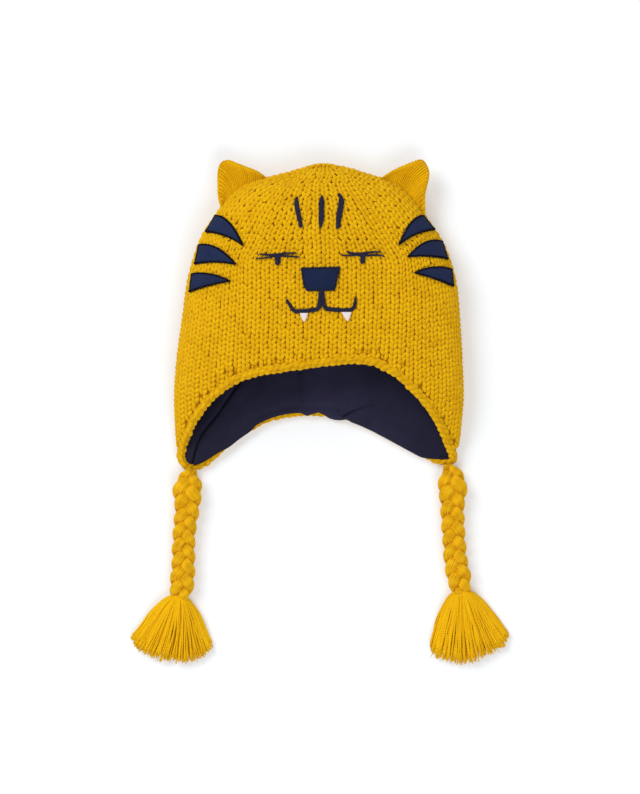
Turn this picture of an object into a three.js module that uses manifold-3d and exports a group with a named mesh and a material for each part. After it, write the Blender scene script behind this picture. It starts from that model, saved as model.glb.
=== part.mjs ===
// A child's knitted tiger hat, lying on its back: a hollow crown with two ear
// flaps, a fleece lining, a rounded edging, two cupped ears, a sewn face with
// cheek stripes, and a plait with a tassel on each flap.
// Units are millimetres. +Z is up, +Y points to the top of the crown, and the
// back panel rests flat on z = 0.
import * as THREE from 'three';
import Module from 'manifold-3d';
import { mergeVertices } from 'three/addons/utils/BufferGeometryUtils.js';

const wasm = await Module();
wasm.setup();

// Driving dimensions
const KNIT_WALL = 4;
const LINING_WALL = 1.8;
const GAP = 0.3;
const TRIM_ACROSS = 6.4;
const CROWN_HEIGHT = 44;
const FOLD_HEIGHT = 15;
const REST_SINK = 3;
const FRONT_FULLNESS = 2.3;
const BACK_FULLNESS = 3;
const CROWN_CENTRE_UP = 38.3;
const SECTION_HALF_WIDTH = 56;
const SECTION_TAPER = 0.8;
const APPLIQUE_THICKNESS = 1;
const THREAD_THICKNESS = 0.9;
const BRAID_WIDTH = 17;
const BRAID_HEIGHT = 13;
const EAR_THICKNESS = 6;
const EAR_EDGE = 2.4;
const EAR_CUP = 3;
const EAR_MIDDLE_HEIGHT = 17;
const TRIM_SIDES = 8;
const RIM_EASING = 2;
const EAR_ROWS = 5;
const EAR_SEAM_START = 45;
const EAR_SEAM_END = 81;
const EAR_SEAM_GAP = 0.5;
const EAR_CUP_SHIFT = 0.25;
const STRIPE_ROWS = 5;
const STRIPE_TIP_CUT = 0.06;
const FANG_TIP = 1;
const LOCK_STEPS = 4;
const LOCK_SIDES = 6;
const LOCK_START = 11;
const LOCK_END = 12;
const LOCK_SPREAD = 0.6;
const NECK_LENGTH = 5;
const NECK_WIDTH = 15;
const LOCK_THINNING = 0.35;
const HEAD_PINCH = 0.25;
const TASSEL_HEIGHT = 13;
const BRAID_SIDES = 10;
const BRAID_STEPS = 10;
const FACE_GAP = 0.5;
const FACE_STEP = 5;
const FACE_EDGE = 0.995;
const LONGEST_DOWN = 280;
const HALVINGS = 40;

// Outline of the flattened hat seen from the front, from the top of the crown
// to the flap tips: half is half the width and centre is where its middle lies.
const OUTLINE = [
  { up: 108.9, half: 0, centre: 3.5 },
  { up: 106.9, half: 13, centre: 4.5 },
  { up: 103.9, half: 23.2, centre: 5 },
  { up: 98.8, half: 41.2, centre: 3.6 },
  { up: 96.2, half: 50.5, centre: 1.6 },
  { up: 91, half: 59.5, centre: 1 },
  { up: 83, half: 67.8, centre: 0.9 },
  { up: 72, half: 75.2, centre: 0.9 },
  { up: 62, half: 82.3, centre: 1 },
  { up: 52, half: 87.8, centre: 1.5 },
  { up: 38.3, half: 92.9, centre: 2 },
  { up: 21, half: 97.1, centre: 2.1 },
  { up: -3.4, half: 99.8, centre: 1.6 },
  { up: -32.2, half: 102.7, centre: 0.5 },
  { up: -61, half: 104.4, centre: 0 },
  { up: -82.6, half: 103.7, centre: -0.5 },
  { up: -98.5, half: 102.2, centre: -0.9 },
  { up: -106, half: 99.5, centre: -1 },
  { up: -118, half: 93, centre: -1 },
];

// Heights of the side fold and of the front panel where the flaps thin out.
const HEIGHTS = [
  { up: 110, fold: 15, top: 44 },
  { up: -38, fold: 15, top: 44 },
  { up: -62, fold: 13, top: 37 },
  { up: -84, fold: 9.5, top: 26 },
  { up: -100, fold: 6.5, top: 15 },
  { up: -120, fold: 5, top: 10 },
];

// A knitted round lies higher at the side folds than in the middle: middle and
// side are its distances from the crown point along the front and the fold.
const ROUNDS = [
  { middle: 0, side: 0 },
  { middle: 25, side: 27 },
  { middle: 45, side: 52 },
  { middle: 82, side: 101 },
  { middle: 110, side: 141.5 },
  { middle: 200, side: 231.5 },
  { middle: 290, side: 321.5 },
];

// Middle line of the edging, as across and up seen from the front.
const FRONT_RIM = [
  { across: -106, up: -104 },
  { across: -100, up: -95 },
  { across: -95.2, up: -79 },
  { across: -88.7, up: -69.3 },
  { across: -79, up: -58.5 },
  { across: -67.1, up: -48.8 },
  { across: -56, up: -42.6 },
  { across: -33.7, up: -39.1 },
  { across: 0, up: -34.4 },
  { across: 24, up: -31.4 },
  { across: 41, up: -31.6 },
  { across: 56, up: -39.4 },
  { across: 70.4, up: -53.8 },
  { across: 83, up: -66.8 },
  { across: 90.5, up: -78.5 },
  { across: 94.6, up: -91.3 },
  { across: 100, up: -101 },
  { across: 106, up: -104 },
];
const BACK_RIM = [
  { across: -106, up: -103 },
  { across: -98, up: -108.2 },
  { across: -90.5, up: -109.2 },
  { across: -81.9, up: -105 },
  { across: -64.6, up: -88.4 },
  { across: -42.3, up: -74.3 },
  { across: -15.7, up: -68.6 },
  { across: 6.7, up: -69.1 },
  { across: 21.8, up: -71 },
  { across: 46, up: -82.6 },
  { across: 72.2, up: -96.6 },
  { across: 82, up: -101.5 },
  { across: 90.2, up: -105.2 },
  { across: 97, up: -105.4 },
  { across: 106, up: -101 },
];

// Edges of the ears, from the upper to the lower corner.
const EAR_LEFT = [
  { across: -39.5, up: 101 },
  { across: -43, up: 103.5 },
  { across: -48.8, up: 106 },
  { across: -58.9, up: 108.9 },
  { across: -65.8, up: 111.8 },
  { across: -71.4, up: 109.4 },
  { across: -72.9, up: 104 },
  { across: -73, up: 95.2 },
  { across: -72.6, up: 86 },
  { across: -71, up: 78.6 },
];
const EAR_RIGHT = [
  { across: 47, up: 101 },
  { across: 51.3, up: 103.3 },
  { across: 59.9, up: 107.5 },
  { across: 67.9, up: 110.8 },
  { across: 72.8, up: 112.1 },
  { across: 77.6, up: 109.8 },
  { across: 79.5, up: 103.4 },
  { across: 77.6, up: 93 },
  { across: 76.3, up: 85 },
  { across: 76.4, up: 77.5 },
];

// Cheek stripes: the inner tip, the two outer corners, and how far the upper
// and lower edges swell upwards between them.
const STRIPES = [
  { name: 'stripe_left_1', tip: [-54.2, 50.6], top: [-73.2, 70.8], low: [-81, 60.4], swell: [4.6, 2.4] },
  { name: 'stripe_left_2', tip: [-59.6, 36.9], top: [-85.6, 50.4], low: [-88.8, 37.4], swell: [4, 1.2] },
  { name: 'stripe_left_3', tip: [-63.7, 24.6], top: [-91.2, 29.2], low: [-92.6, 17.4], swell: [2.2, 0.8] },
  { name: 'stripe_right_1', tip: [57.4, 50.7], top: [73.4, 70.2], low: [81.8, 61], swell: [4.6, 2.4] },
  { name: 'stripe_right_2', tip: [63.8, 42.1], top: [88.6, 53.2], low: [92.4, 41.2], swell: [4, 1.2] },
  { name: 'stripe_right_3', tip: [69, 30.6], top: [95.4, 32.8], low: [96.6, 21.6], swell: [2.2, 0.8] },
];

const NOSE = [
  { a: [-12.5, 33.9], b: [15.1, 34.7] },
  { a: [-10.5, 22.5], b: [12.2, 22.9] },
  { a: [-8.5, 18.6], b: [11.2, 18.9] },
];

const FANGS = [
  { name: 'fang_left', tip: [-10.6, -4.9], corners: [[-15.2, 1.2], [-7.6, 1.2]] },
  { name: 'fang_right', tip: [20.7, -4.4], corners: [[15.4, 2], [23.6, 2]] },
];

// Stitched lines of the face, each through points with a width of its own.
const THREADS = [
  {
    name: 'mouth',
    lines: [
      [
        { across: 2, up: 18, width: 3.2 },
        { across: 2, up: 10, width: 4.2 },
        { across: 1.8, up: 5.6, width: 3.4 },
      ],
      [
        { across: 3, up: 6.4, width: 2.2 },
        { across: -1, up: 4.2, width: 2.2 },
        { across: -8, up: 3.1, width: 2.2 },
        { across: -15.2, up: 2.9, width: 2.2 },
        { across: -19.6, up: 6, width: 2.2 },
        { across: -22.6, up: 10.6, width: 1.6 },
      ],
      [
        { across: 1, up: 6.6, width: 2.2 },
        { across: 6, up: 4.6, width: 2.2 },
        { across: 15, up: 3.9, width: 2.2 },
        { across: 23, up: 4.5, width: 2.2 },
        { across: 25.2, up: 7.4, width: 2.2 },
        { across: 26.4, up: 11.6, width: 1.6 },
      ],
    ],
  },
  {
    name: 'eye_left',
    lines: [
      [
        { across: -42, up: 43.9, width: 1.2 },
        { across: -34.8, up: 42.9, width: 1.6 },
        { across: -23, up: 44.5, width: 1.6 },
        { across: -16.2, up: 44.6, width: 1 },
      ],
      [
        { across: -45.1, up: 40.9, width: 1 },
        { across: -34.2, up: 42.3, width: 1.6 },
        { across: -27.8, up: 42.5, width: 1.6 },
        { across: -14.2, up: 42.2, width: 1 },
      ],
      [
        { across: -29.3, up: 43.2, width: 4.4 },
        { across: -29.3, up: 37.2, width: 4 },
      ],
    ],
  },
  {
    name: 'eye_right',
    lines: [
      [
        { across: 19.8, up: 45.8, width: 1.2 },
        { across: 25, up: 44.5, width: 1.6 },
        { across: 37.4, up: 45.2, width: 1.6 },
        { across: 44.5, up: 45.4, width: 1 },
      ],
      [
        { across: 16, up: 43.2, width: 1 },
        { across: 25, up: 43.4, width: 1.6 },
        { across: 37, up: 43.6, width: 1.6 },
        { across: 47.6, up: 42.5, width: 1 },
      ],
      [
        { across: 31.6, up: 44, width: 3.8 },
        { across: 31.5, up: 38, width: 3.4 },
      ],
    ],
  },
  {
    name: 'brow_mark_1',
    lines: [
      [
        { across: -15.6, up: 85, width: 1.4 },
        { across: -16, up: 80.6, width: 3.4 },
        { across: -14, up: 70, width: 3.4 },
        { across: -12.5, up: 63.2, width: 1.6 },
      ],
    ],
  },
  {
    name: 'brow_mark_2',
    lines: [
      [
        { across: 2, up: 85.6, width: 1.4 },
        { across: 2, up: 81.6, width: 4 },
        { across: 1.8, up: 68, width: 3.8 },
        { across: 1.4, up: 63.6, width: 1.2 },
      ],
    ],
  },
  {
    name: 'brow_mark_3',
    lines: [
      [
        { across: 14.4, up: 87.4, width: 1.4 },
        { across: 16.2, up: 82, width: 4.2 },
        { across: 14.8, up: 70, width: 4 },
        { across: 14.2, up: 62.4, width: 1.6 },
      ],
    ],
  },
];

// Each plait follows its route to the tassel; ends lists the cut ends of the
// tassel's locks.
const TIES = [
  {
    side: 'left',
    route: [
      { across: -92, up: -112.2 },
      { across: -94.2, up: -121 },
      { across: -94.9, up: -130 },
      { across: -95.2, up: -140 },
      { across: -96.6, up: -151.8 },
      { across: -97.6, up: -164.6 },
      { across: -97.9, up: -181 },
      { across: -99, up: -194.2 },
      { across: -100.4, up: -202.6 },
    ],
    ends: [
      { across: -133, up: -233 },
      { across: -129, up: -240.5 },
      { across: -121.5, up: -244 },
      { across: -112, up: -247.4 },
      { across: -103, up: -249 },
      { across: -94.5, up: -249.2 },
      { across: -86, up: -246 },
      { across: -80, up: -240.5 },
    ],
  },
  {
    side: 'right',
    route: [
      { across: 94.2, up: -108.9 },
      { across: 95.6, up: -115 },
      { across: 96.6, up: -124 },
      { across: 96.6, up: -138 },
      { across: 97, up: -152 },
      { across: 98, up: -166 },
      { across: 99, up: -178 },
      { across: 101.4, up: -189.4 },
      { across: 103.2, up: -198.6 },
    ],
    ends: [
      { across: 83, up: -239.5 },
      { across: 87, up: -245.4 },
      { across: 94, up: -248 },
      { across: 103, up: -249.6 },
      { across: 112.5, up: -248.4 },
      { across: 122, up: -244 },
      { across: 129, up: -238.6 },
      { across: 135, up: -233.6 },
    ],
  },
];

// Smooth curve through the rows of a table, read by the named columns.
function read(table, key, value, column) {
  const rising = table[table.length - 1][key] > table[0][key];
  const rows = rising ? table : [...table].reverse();
  const last = rows.length - 1;
  const clamped = Math.min(Math.max(value, rows[0][key]), rows[last][key]);
  let i = 0;
  while (i < last - 1 && clamped > rows[i + 1][key]) i += 1;
  const slope = (a, b) => (rows[b][column] - rows[a][column]) / (rows[b][key] - rows[a][key]);
  const step = rows[i + 1][key] - rows[i][key];
  const here = slope(i, i + 1);
  const before = i > 0 ? slope(i - 1, i) : here;
  const after = i + 2 <= last ? slope(i + 1, i + 2) : here;
  const even = (a, b) => (a * b > 0 ? (2 * a * b) / (a + b) : 0);
  const t = (clamped - rows[i][key]) / step;
  const startPull = (1 - t) * (1 - t) * t * step * even(before, here);
  const endPull = t * t * (t - 1) * step * even(here, after);
  const level = (1 + 2 * t) * (1 - t) * (1 - t) * rows[i][column];
  return level + t * t * (3 - 2 * t) * rows[i + 1][column] + startPull + endPull;
}

// The outline again, by distance along it from the crown point.
const FOLD_LINE = OUTLINE.map((row) => ({ ...row, along: 0 }));
for (let i = 1; i < FOLD_LINE.length; i += 1) {
  const step = Math.hypot(OUTLINE[i].half - OUTLINE[i - 1].half, OUTLINE[i].up - OUTLINE[i - 1].up);
  FOLD_LINE[i].along = FOLD_LINE[i - 1].along + step;
}

// The crown's outline as a distance from the crown centre in each direction.
const CROWN_RADII = OUTLINE.filter((row) => row.up >= CROWN_CENTRE_UP).map((row) => ({
  angle: Math.atan2(row.up - CROWN_CENTRE_UP, row.half),
  radius: Math.hypot(row.up - CROWN_CENTRE_UP, row.half),
}));

// Fall of a rounded section: 1 over the middle and 0 at the side fold.
function fullness(reach, power) {
  return Math.max(0, 1 - Math.min(reach, 1) ** power) ** (1 / power);
}

// How far out a point of the plan lies, from 0 in the middle to 1 at the fold,
// and the point that the same place has on a wall set in by inset.
function placeInPlan(x, up, inset) {
  if (up <= CROWN_CENTRE_UP) {
    const half = read(OUTLINE, 'up', up, 'half');
    return { reach: Math.abs(x) / half, x: (x * (half - inset)) / half, up };
  }
  const rise = up - CROWN_CENTRE_UP;
  const radius = read(CROWN_RADII, 'angle', Math.atan2(rise, Math.abs(x)), 'radius');
  const shrink = (radius - inset) / radius;
  return { reach: Math.hypot(x, rise) / radius, x: x * shrink, up: CROWN_CENTRE_UP + rise * shrink };
}

function heightAt(up, reach, face, inset) {
  const fold = read(HEIGHTS, 'up', up, 'fold');
  const top = read(HEIGHTS, 'up', up, 'top');
  if (face > 0) return fold + (top - inset - fold) * fullness(reach, FRONT_FULLNESS);
  const lowest = fold - (fold + REST_SINK - inset) * fullness(reach, BACK_FULLNESS);
  return Math.max(inset, lowest);
}

// Distance down the middle of the front panel from the crown point.
const FRONT_LINE = [{ along: 0, up: OUTLINE[0].up }];
const PROFILE_STEPS = 60;
for (let i = 1; i <= PROFILE_STEPS; i += 1) {
  const turn = (Math.PI / 2) * (1 - i / PROFILE_STEPS);
  const reach = Math.sin(turn);
  const up = CROWN_CENTRE_UP + (OUTLINE[0].up - CROWN_CENTRE_UP) * reach;
  const rise = CROWN_HEIGHT - FOLD_HEIGHT;
  const before = FRONT_LINE[i - 1];
  const lift = rise * (fullness(reach, FRONT_FULLNESS) - (before.lift ?? 0) / rise);
  const along = before.along + Math.hypot(before.up - up, lift);
  FRONT_LINE.push({ along, up, lift: rise * fullness(reach, FRONT_FULLNESS) });
}
const CROWN_LENGTH = FRONT_LINE[PROFILE_STEPS].along;

function frontMiddleUp(down) {
  if (down >= CROWN_LENGTH) return CROWN_CENTRE_UP - (down - CROWN_LENGTH);
  return read(FRONT_LINE, 'along', down, 'up');
}

// Point of the round that lies down from the crown point, around from 0 in the
// middle of a panel to 1 at a side fold, on a wall set in by inset.
function hatPoint(side, face, around, down, inset) {
  const middleUp = frontMiddleUp(down);
  const along = read(ROUNDS, 'middle', down, 'side');
  const foldHalf = read(FOLD_LINE, 'along', along, 'half');
  const foldUp = read(FOLD_LINE, 'along', along, 'up');
  const corner = SECTION_HALF_WIDTH * Math.min(1, (down / CROWN_LENGTH) ** SECTION_TAPER);
  const lift = foldUp - middleUp;
  const sideRun = Math.hypot(foldHalf - corner, lift);
  const run = Math.sin((Math.PI / 2) * around) * (corner + sideRun);
  const past = run > corner ? (run - corner) / sideRun : 0;
  const x = Math.min(run, corner) + (foldHalf - corner) * past;
  const place = placeInPlan(x, middleUp + lift * past, inset);
  const reach = around >= 1 ? 1 : place.reach;
  const centre = read(OUTLINE, 'up', place.up, 'centre');
  return new THREE.Vector3(centre + side * place.x, place.up, heightAt(place.up, reach, face, inset));
}

// Distance down a meridian to the middle line of the edging.
function rimDown(side, face, around) {
  const rim = face > 0 ? FRONT_RIM : BACK_RIM;
  let low = CROWN_LENGTH;
  let high = LONGEST_DOWN;
  for (let i = 0; i < HALVINGS; i += 1) {
    const middle = (low + high) / 2;
    const point = hatPoint(side, face, around, middle, 0);
    if (point.y > read(rim, 'across', point.x, 'up')) low = middle;
    else high = middle;
  }
  return low;
}

// Stations once round the hat, closer together at the two side folds.
const QUARTER = [0, 0.08, 0.16, 0.25, 0.34, 0.43, 0.52, 0.6, 0.67, 0.74, 0.81, 0.88, 0.94];
const STATIONS = [];
for (const around of QUARTER) STATIONS.push({ side: 1, face: 1, around });
for (const around of [1, ...QUARTER.slice(1).reverse()]) STATIONS.push({ side: 1, face: -1, around });
for (const around of QUARTER) STATIONS.push({ side: -1, face: -1, around });
for (const around of [1, ...QUARTER.slice(1).reverse()]) STATIONS.push({ side: -1, face: 1, around });

function stationRim(station) {
  const { side, face, around } = station;
  if (around < 1) return rimDown(side, face, around);
  return (rimDown(side, 1, around) + rimDown(side, -1, around)) / 2;
}
const RIM_DOWN = STATIONS.map(stationRim);

// Middle line of the edging, lifted where it would sink under the back panel
// and eased where it turns round the flap tips.
let rimLine = STATIONS.map(({ side, face, around }, i) => {
  const point = hatPoint(side, face, around, RIM_DOWN[i], KNIT_WALL / 2);
  return point.setZ(Math.max(point.z, TRIM_ACROSS / 2));
});
for (let pass = 0; pass < RIM_EASING; pass += 1) {
  rimLine = rimLine.map((point, i) => {
    const [last, next] = [rimLine.at(i - 1), rimLine[(i + 1) % rimLine.length]];
    const middle = new THREE.Vector3().addVectors(last, next).multiplyScalar(0.5);
    return point.clone().lerp(middle, 0.5);
  });
}

// Closed geometry from corner positions and triangles.
function geometryOf(positions, triangles) {
  const geometry = new THREE.BufferGeometry();
  const numbers = positions.flatMap((p) => [p.x, p.y, p.z]);
  geometry.setAttribute('position', new THREE.Float32BufferAttribute(numbers, 3));
  geometry.setIndex(triangles.flat());
  geometry.computeVertexNormals();
  return geometry;
}

// Two triangles for each step along a band between two rings of corners, which
// start at the given numbers. The diagonal runs the same way in every band, so
// that walls lying on each other have the same facets.
function band(first, second, count, turned) {
  const triangles = [];
  for (let i = 0; i < count; i += 1) {
    const j = (i + 1) % count;
    const near = [first + i, first + j, second + j];
    const far = [first + i, second + j, second + i];
    triangles.push(...[near, far].map((t) => (turned ? t.reverse() : t)));
  }
  return triangles;
}

function fan(hub, ring, count, turned) {
  const triangles = [];
  for (let i = 0; i < count; i += 1) {
    const corner = [hub, ring + i, ring + ((i + 1) % count)];
    triangles.push(turned ? corner.reverse() : corner);
  }
  return triangles;
}

const ROUND_FRACTIONS = [0.04, 0.09, 0.15, 0.21, 0.28, 0.36, 0.44, 0.53, 0.62, 0.71, 0.8, 0.9, 1];

// A wall of the hat between two insets: an outer and an inner skin that meet
// round the rim.
function hatWall(outerInset, innerInset) {
  const ringAt = (fraction, inset) =>
    STATIONS.map(({ side, face, around }, i) => hatPoint(side, face, around, fraction * RIM_DOWN[i], inset));
  const skinAt = (inset) => ROUND_FRACTIONS.map((fraction) => ringAt(fraction, inset));
  const skins = [skinAt(outerInset), skinAt(innerInset)];
  const hubs = [outerInset, innerInset].map((inset) => hatPoint(1, 1, 0, 0, inset));
  const count = STATIONS.length;
  const skinSize = ROUND_FRACTIONS.length * count;
  const triangles = [0, 1].flatMap((skin) => {
    const start = skin * skinSize;
    const bands = ROUND_FRACTIONS.slice(1).flatMap((_, k) =>
      band(start + k * count, start + (k + 1) * count, count, skin === 0));
    return [...bands, ...fan(2 * skinSize + skin, start, count, skin === 1)];
  });
  const rim = band(skinSize - count, 2 * skinSize - count, count, true);
  return geometryOf([...skins.flat(2), ...hubs], [...triangles, ...rim]);
}

function mesh(name, geometry, color, roughness) {
  const material = new THREE.MeshStandardMaterial({ color, roughness, metalness: 0 });
  const piece = new THREE.Mesh(geometry, material);
  piece.name = name;
  return piece;
}

const MUSTARD = 0xe8b01c;
const NAVY = 0x232f57;
const LINING_NAVY = 0x23232f;
const WHITE = 0xf2eef0;

// Closed skin over a row of rings with a corner in the middle of each end.
function tubeOver(rings) {
  const count = rings[0].length;
  const middleOf = (ring) => ring.reduce((sum, p) => sum.addScaledVector(p, 1 / count), new THREE.Vector3());
  const hubs = [middleOf(rings[0]), middleOf(rings[rings.length - 1])];
  const first = rings.length * count;
  const bands = rings.slice(1).flatMap((_, k) => band(k * count, (k + 1) * count, count, false));
  const ends = [...fan(first, 0, count, true), ...fan(first + 1, first - count, count, false)];
  return geometryOf([...rings.flat(), ...hubs], [...bands, ...ends]);
}

// A round cord laid once round the rim line.
function cordRoundRim(radius) {
  const count = rimLine.length;
  const rings = rimLine.map((point, i) => {
    const ahead = new THREE.Vector3().subVectors(rimLine[(i + 1) % count], rimLine.at(i - 1));
    ahead.normalize();
    const level = new THREE.Vector3().crossVectors(ahead, new THREE.Vector3(0, 0, 1)).normalize();
    const rise = new THREE.Vector3().crossVectors(level, ahead);
    return Array.from({ length: TRIM_SIDES }, (_, k) => {
      const turn = (2 * Math.PI * (k + 0.5)) / TRIM_SIDES;
      const out = level.clone().multiplyScalar(Math.cos(turn)).addScaledVector(rise, Math.sin(turn));
      return point.clone().addScaledVector(out, radius);
    });
  });
  const bands = rings.flatMap((_, k) =>
    band(k * TRIM_SIDES, ((k + 1) % count) * TRIM_SIDES, TRIM_SIDES, true));
  return geometryOf(rings.flat(), bands);
}

// Closed plate between two grids of points of the same size, low and high.
function plateBetween(low, high) {
  const rows = low.length;
  const columns = low[0].length;
  const size = rows * columns;
  const triangles = [];
  for (let r = 0; r + 1 < rows; r += 1) {
    for (let c = 0; c + 1 < columns; c += 1) {
      const a = r * columns + c;
      const b = a + 1;
      const d = a + columns;
      const e = d + 1;
      triangles.push([a, b, e], [a, e, d]);
      triangles.push([size + a, size + e, size + b], [size + a, size + d, size + e]);
    }
  }
  const border = [];
  for (let c = 0; c + 1 < columns; c += 1) border.push(c);
  for (let r = 0; r + 1 < rows; r += 1) border.push(r * columns + columns - 1);
  for (let c = columns - 1; c > 0; c -= 1) border.push((rows - 1) * columns + c);
  for (let r = rows - 1; r > 0; r -= 1) border.push(r * columns);
  border.forEach((here, i) => {
    const next = border[(i + 1) % border.length];
    triangles.push([here, size + here, size + next], [here, size + next, next]);
  });
  return geometryOf([...low.flat(), ...high.flat()], triangles);
}

// A place on the outside of the front panel and the way out of it there.
function onFront(across, up) {
  const heightOver = (a, u) => {
    const x = Math.abs(a - read(OUTLINE, 'up', u, 'centre'));
    return heightAt(u, Math.min(placeInPlan(x, u, 0).reach, FACE_EDGE), 1, 0);
  };
  const step = 0.5;
  const leanAcross = (heightOver(across + step, up) - heightOver(across - step, up)) / (2 * step);
  const leanUp = (heightOver(across, up + step) - heightOver(across, up - step)) / (2 * step);
  const normal = new THREE.Vector3(-leanAcross, -leanUp, 1).normalize();
  return { point: new THREE.Vector3(across, up, heightOver(across, up)), normal };
}

// A flat piece sewn on the front: each row gives the two ends of one line
// across it, and fine rows and columns are laid between them.
function sewnOn(rows, thickness) {
  const fine = [];
  for (let i = 0; i + 1 < rows.length; i += 1) {
    const length = Math.hypot(rows[i + 1].a[0] - rows[i].a[0], rows[i + 1].a[1] - rows[i].a[1]);
    const steps = Math.max(1, Math.round(length / FACE_STEP));
    for (let k = 0; k < steps; k += 1) fine.push({ from: rows[i], to: rows[i + 1], t: k / steps });
  }
  fine.push({ from: rows[rows.length - 1], to: rows[rows.length - 1], t: 0 });
  const widest = Math.max(...rows.map(({ a, b }) => Math.hypot(a[0] - b[0], a[1] - b[1])));
  const columns = Math.max(1, Math.round(widest / FACE_STEP));
  const mix = (p, q, t) => [p[0] + (q[0] - p[0]) * t, p[1] + (q[1] - p[1]) * t];
  const grid = fine.map(({ from, to, t }) => {
    const [a, b] = [mix(from.a, to.a, t), mix(from.b, to.b, t)];
    return Array.from({ length: columns + 1 }, (_, c) => onFront(...mix(a, b, c / columns)));
  });
  const lifted = (lift) =>
    grid.map((row) => row.map(({ point, normal }) => point.clone().addScaledVector(normal, lift)));
  return plateBetween(lifted(FACE_GAP), lifted(FACE_GAP + thickness));
}

// Rows for a stitched line of the given width through points of the front.
function threadRows(points) {
  return points.map(({ across, up, width }, i) => {
    const [last, next] = [points[Math.max(i - 1, 0)], points[Math.min(i + 1, points.length - 1)]];
    const [dx, dy] = [next.across - last.across, next.up - last.up];
    const half = width / 2 / Math.hypot(dx, dy);
    return { a: [across + dy * half, up - dx * half], b: [across - dy * half, up + dx * half] };
  });
}

// Closed geometry as a solid that can be joined and cut, and back again.
function solidOf(geometry) {
  const bare = new THREE.BufferGeometry();
  bare.setAttribute('position', geometry.getAttribute('position'));
  bare.setIndex(geometry.getIndex());
  const merged = mergeVertices(bare, 1e-4);
  const vertProperties = new Float32Array(merged.getAttribute('position').array);
  const triVerts = new Uint32Array(merged.getIndex().array);
  return new wasm.Manifold(new wasm.Mesh({ numProp: 3, vertProperties, triVerts }));
}

function geometryOfSolid(solid) {
  const { vertProperties, triVerts } = solid.getMesh();
  const geometry = new THREE.BufferGeometry();
  geometry.setAttribute('position', new THREE.Float32BufferAttribute(vertProperties, 3));
  geometry.setIndex([...triVerts]);
  geometry.computeVertexNormals();
  return geometry;
}

// A wall of the hat, cut back all round to clear the edging.
function wallInsideTrim(outerInset, innerInset) {
  const cutter = solidOf(cordRoundRim(TRIM_ACROSS / 2 + GAP));
  const pieces = solidOf(hatWall(outerInset, innerInset)).subtract(cutter).decompose();
  const largest = pieces.reduce((best, piece) => (piece.volume() > best.volume() ? piece : best));
  return geometryOfSolid(largest);
}

// A cupped ear: a padded leaf between the side fold of the crown and its own
// edge, which is given from its upper to its lower corner.
function ear(side, edge) {
  const count = edge.length;
  const grid = edge.map(({ across: edgeAcross, up: edgeUp }, i) => {
    const spread = i / (count - 1);
    const along = EAR_SEAM_START + (EAR_SEAM_END - EAR_SEAM_START) * spread;
    const foldUp = read(FOLD_LINE, 'along', along, 'up');
    const foldHalf = read(FOLD_LINE, 'along', along, 'half');
    const foldAcross = read(OUTLINE, 'up', foldUp, 'centre') + side * foldHalf;
    const out = new THREE.Vector2(foldAcross, foldUp - CROWN_CENTRE_UP).normalize();
    const seam = new THREE.Vector2(foldAcross, foldUp).addScaledVector(out, EAR_SEAM_GAP);
    const rim = new THREE.Vector2(edgeAcross, edgeUp);
    return Array.from({ length: EAR_ROWS + 1 }, (_, r) => {
      const rise = r / EAR_ROWS;
      const flat = seam.clone().lerp(rim, rise);
      const across = Math.sin(Math.PI * spread);
      const hollow = EAR_CUP * across * Math.sin(Math.PI * Math.min(rise + EAR_CUP_SHIFT, 1));
      const thick = EAR_EDGE + (EAR_THICKNESS - EAR_EDGE) * (1 - rise) * Math.sqrt(across);
      return { middle: new THREE.Vector3(flat.x, flat.y, EAR_MIDDLE_HEIGHT - hollow), thick };
    });
  });
  const skin = (half) =>
    grid.map((row) => row.map(({ middle, thick }) => middle.clone().setZ(middle.z + half * thick)));
  const [lower, upper] = [skin(-0.5), skin(0.5)];
  return side > 0 ? plateBetween(lower, upper) : plateBetween(lower.reverse(), upper.reverse());
}

// A lock of yarn that lies flat on the floor and thins out to its end.
function lock(from, to, startWidth, endWidth) {
  const run = new THREE.Vector3().subVectors(to, from).setZ(0).normalize();
  const level = new THREE.Vector3(-run.y, run.x, 0);
  const rings = Array.from({ length: LOCK_STEPS + 1 }, (_, k) => {
    const t = k / LOCK_STEPS;
    const middle = from.clone().lerp(to, t);
    const width = startWidth + (endWidth - startWidth) * t ** LOCK_SPREAD;
    const height = TASSEL_HEIGHT * (1 - LOCK_THINNING * t) * (1 - HEAD_PINCH * (1 - t) ** 3);
    middle.z = height / 2;
    return Array.from({ length: LOCK_SIDES }, (_, i) => {
      const turn = (2 * Math.PI * (i + 0.5)) / LOCK_SIDES;
      const out = level.clone().multiplyScalar((width / 2) * Math.cos(turn));
      return middle.clone().add(out).setZ(middle.z * (1 + Math.sin(turn)));
    });
  });
  return tubeOver(rings);
}

function braidPath(route) {
  const points = route.map(({ across, up }) => new THREE.Vector3(across, up, BRAID_HEIGHT / 2));
  return new THREE.CatmullRomCurve3(points);
}

// Locks that fan out from a tied neck, which carries on where the plait ends.
function tassel(route, ends) {
  const path = braidPath(route);
  const end = path.getPoint(1);
  const ahead = path.getTangent(1);
  const top = end.clone().addScaledVector(ahead, GAP);
  const head = end.clone().addScaledVector(ahead, NECK_LENGTH);
  const tips = ends.map(({ across, up }) => new THREE.Vector3(across, up, 0));
  const locks = tips.map((tip) => lock(head, tip, LOCK_START, LOCK_END));
  const neck = lock(top, head.clone().addScaledVector(ahead, NECK_LENGTH), NECK_WIDTH, LOCK_START);
  const solids = [neck, ...locks].map(solidOf);
  return geometryOfSolid(solids.reduce((sum, one) => sum.add(one)));
}

function braid(route) {
  const section = new THREE.Shape();
  for (let i = 0; i < BRAID_SIDES; i += 1) {
    const turn = (2 * Math.PI * (i + 0.5)) / BRAID_SIDES;
    section.lineTo((BRAID_HEIGHT / 2) * Math.cos(turn), (BRAID_WIDTH / 2) * Math.sin(turn));
  }
  return new THREE.ExtrudeGeometry(section, { extrudePath: braidPath(route), steps: BRAID_STEPS });
}

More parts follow.
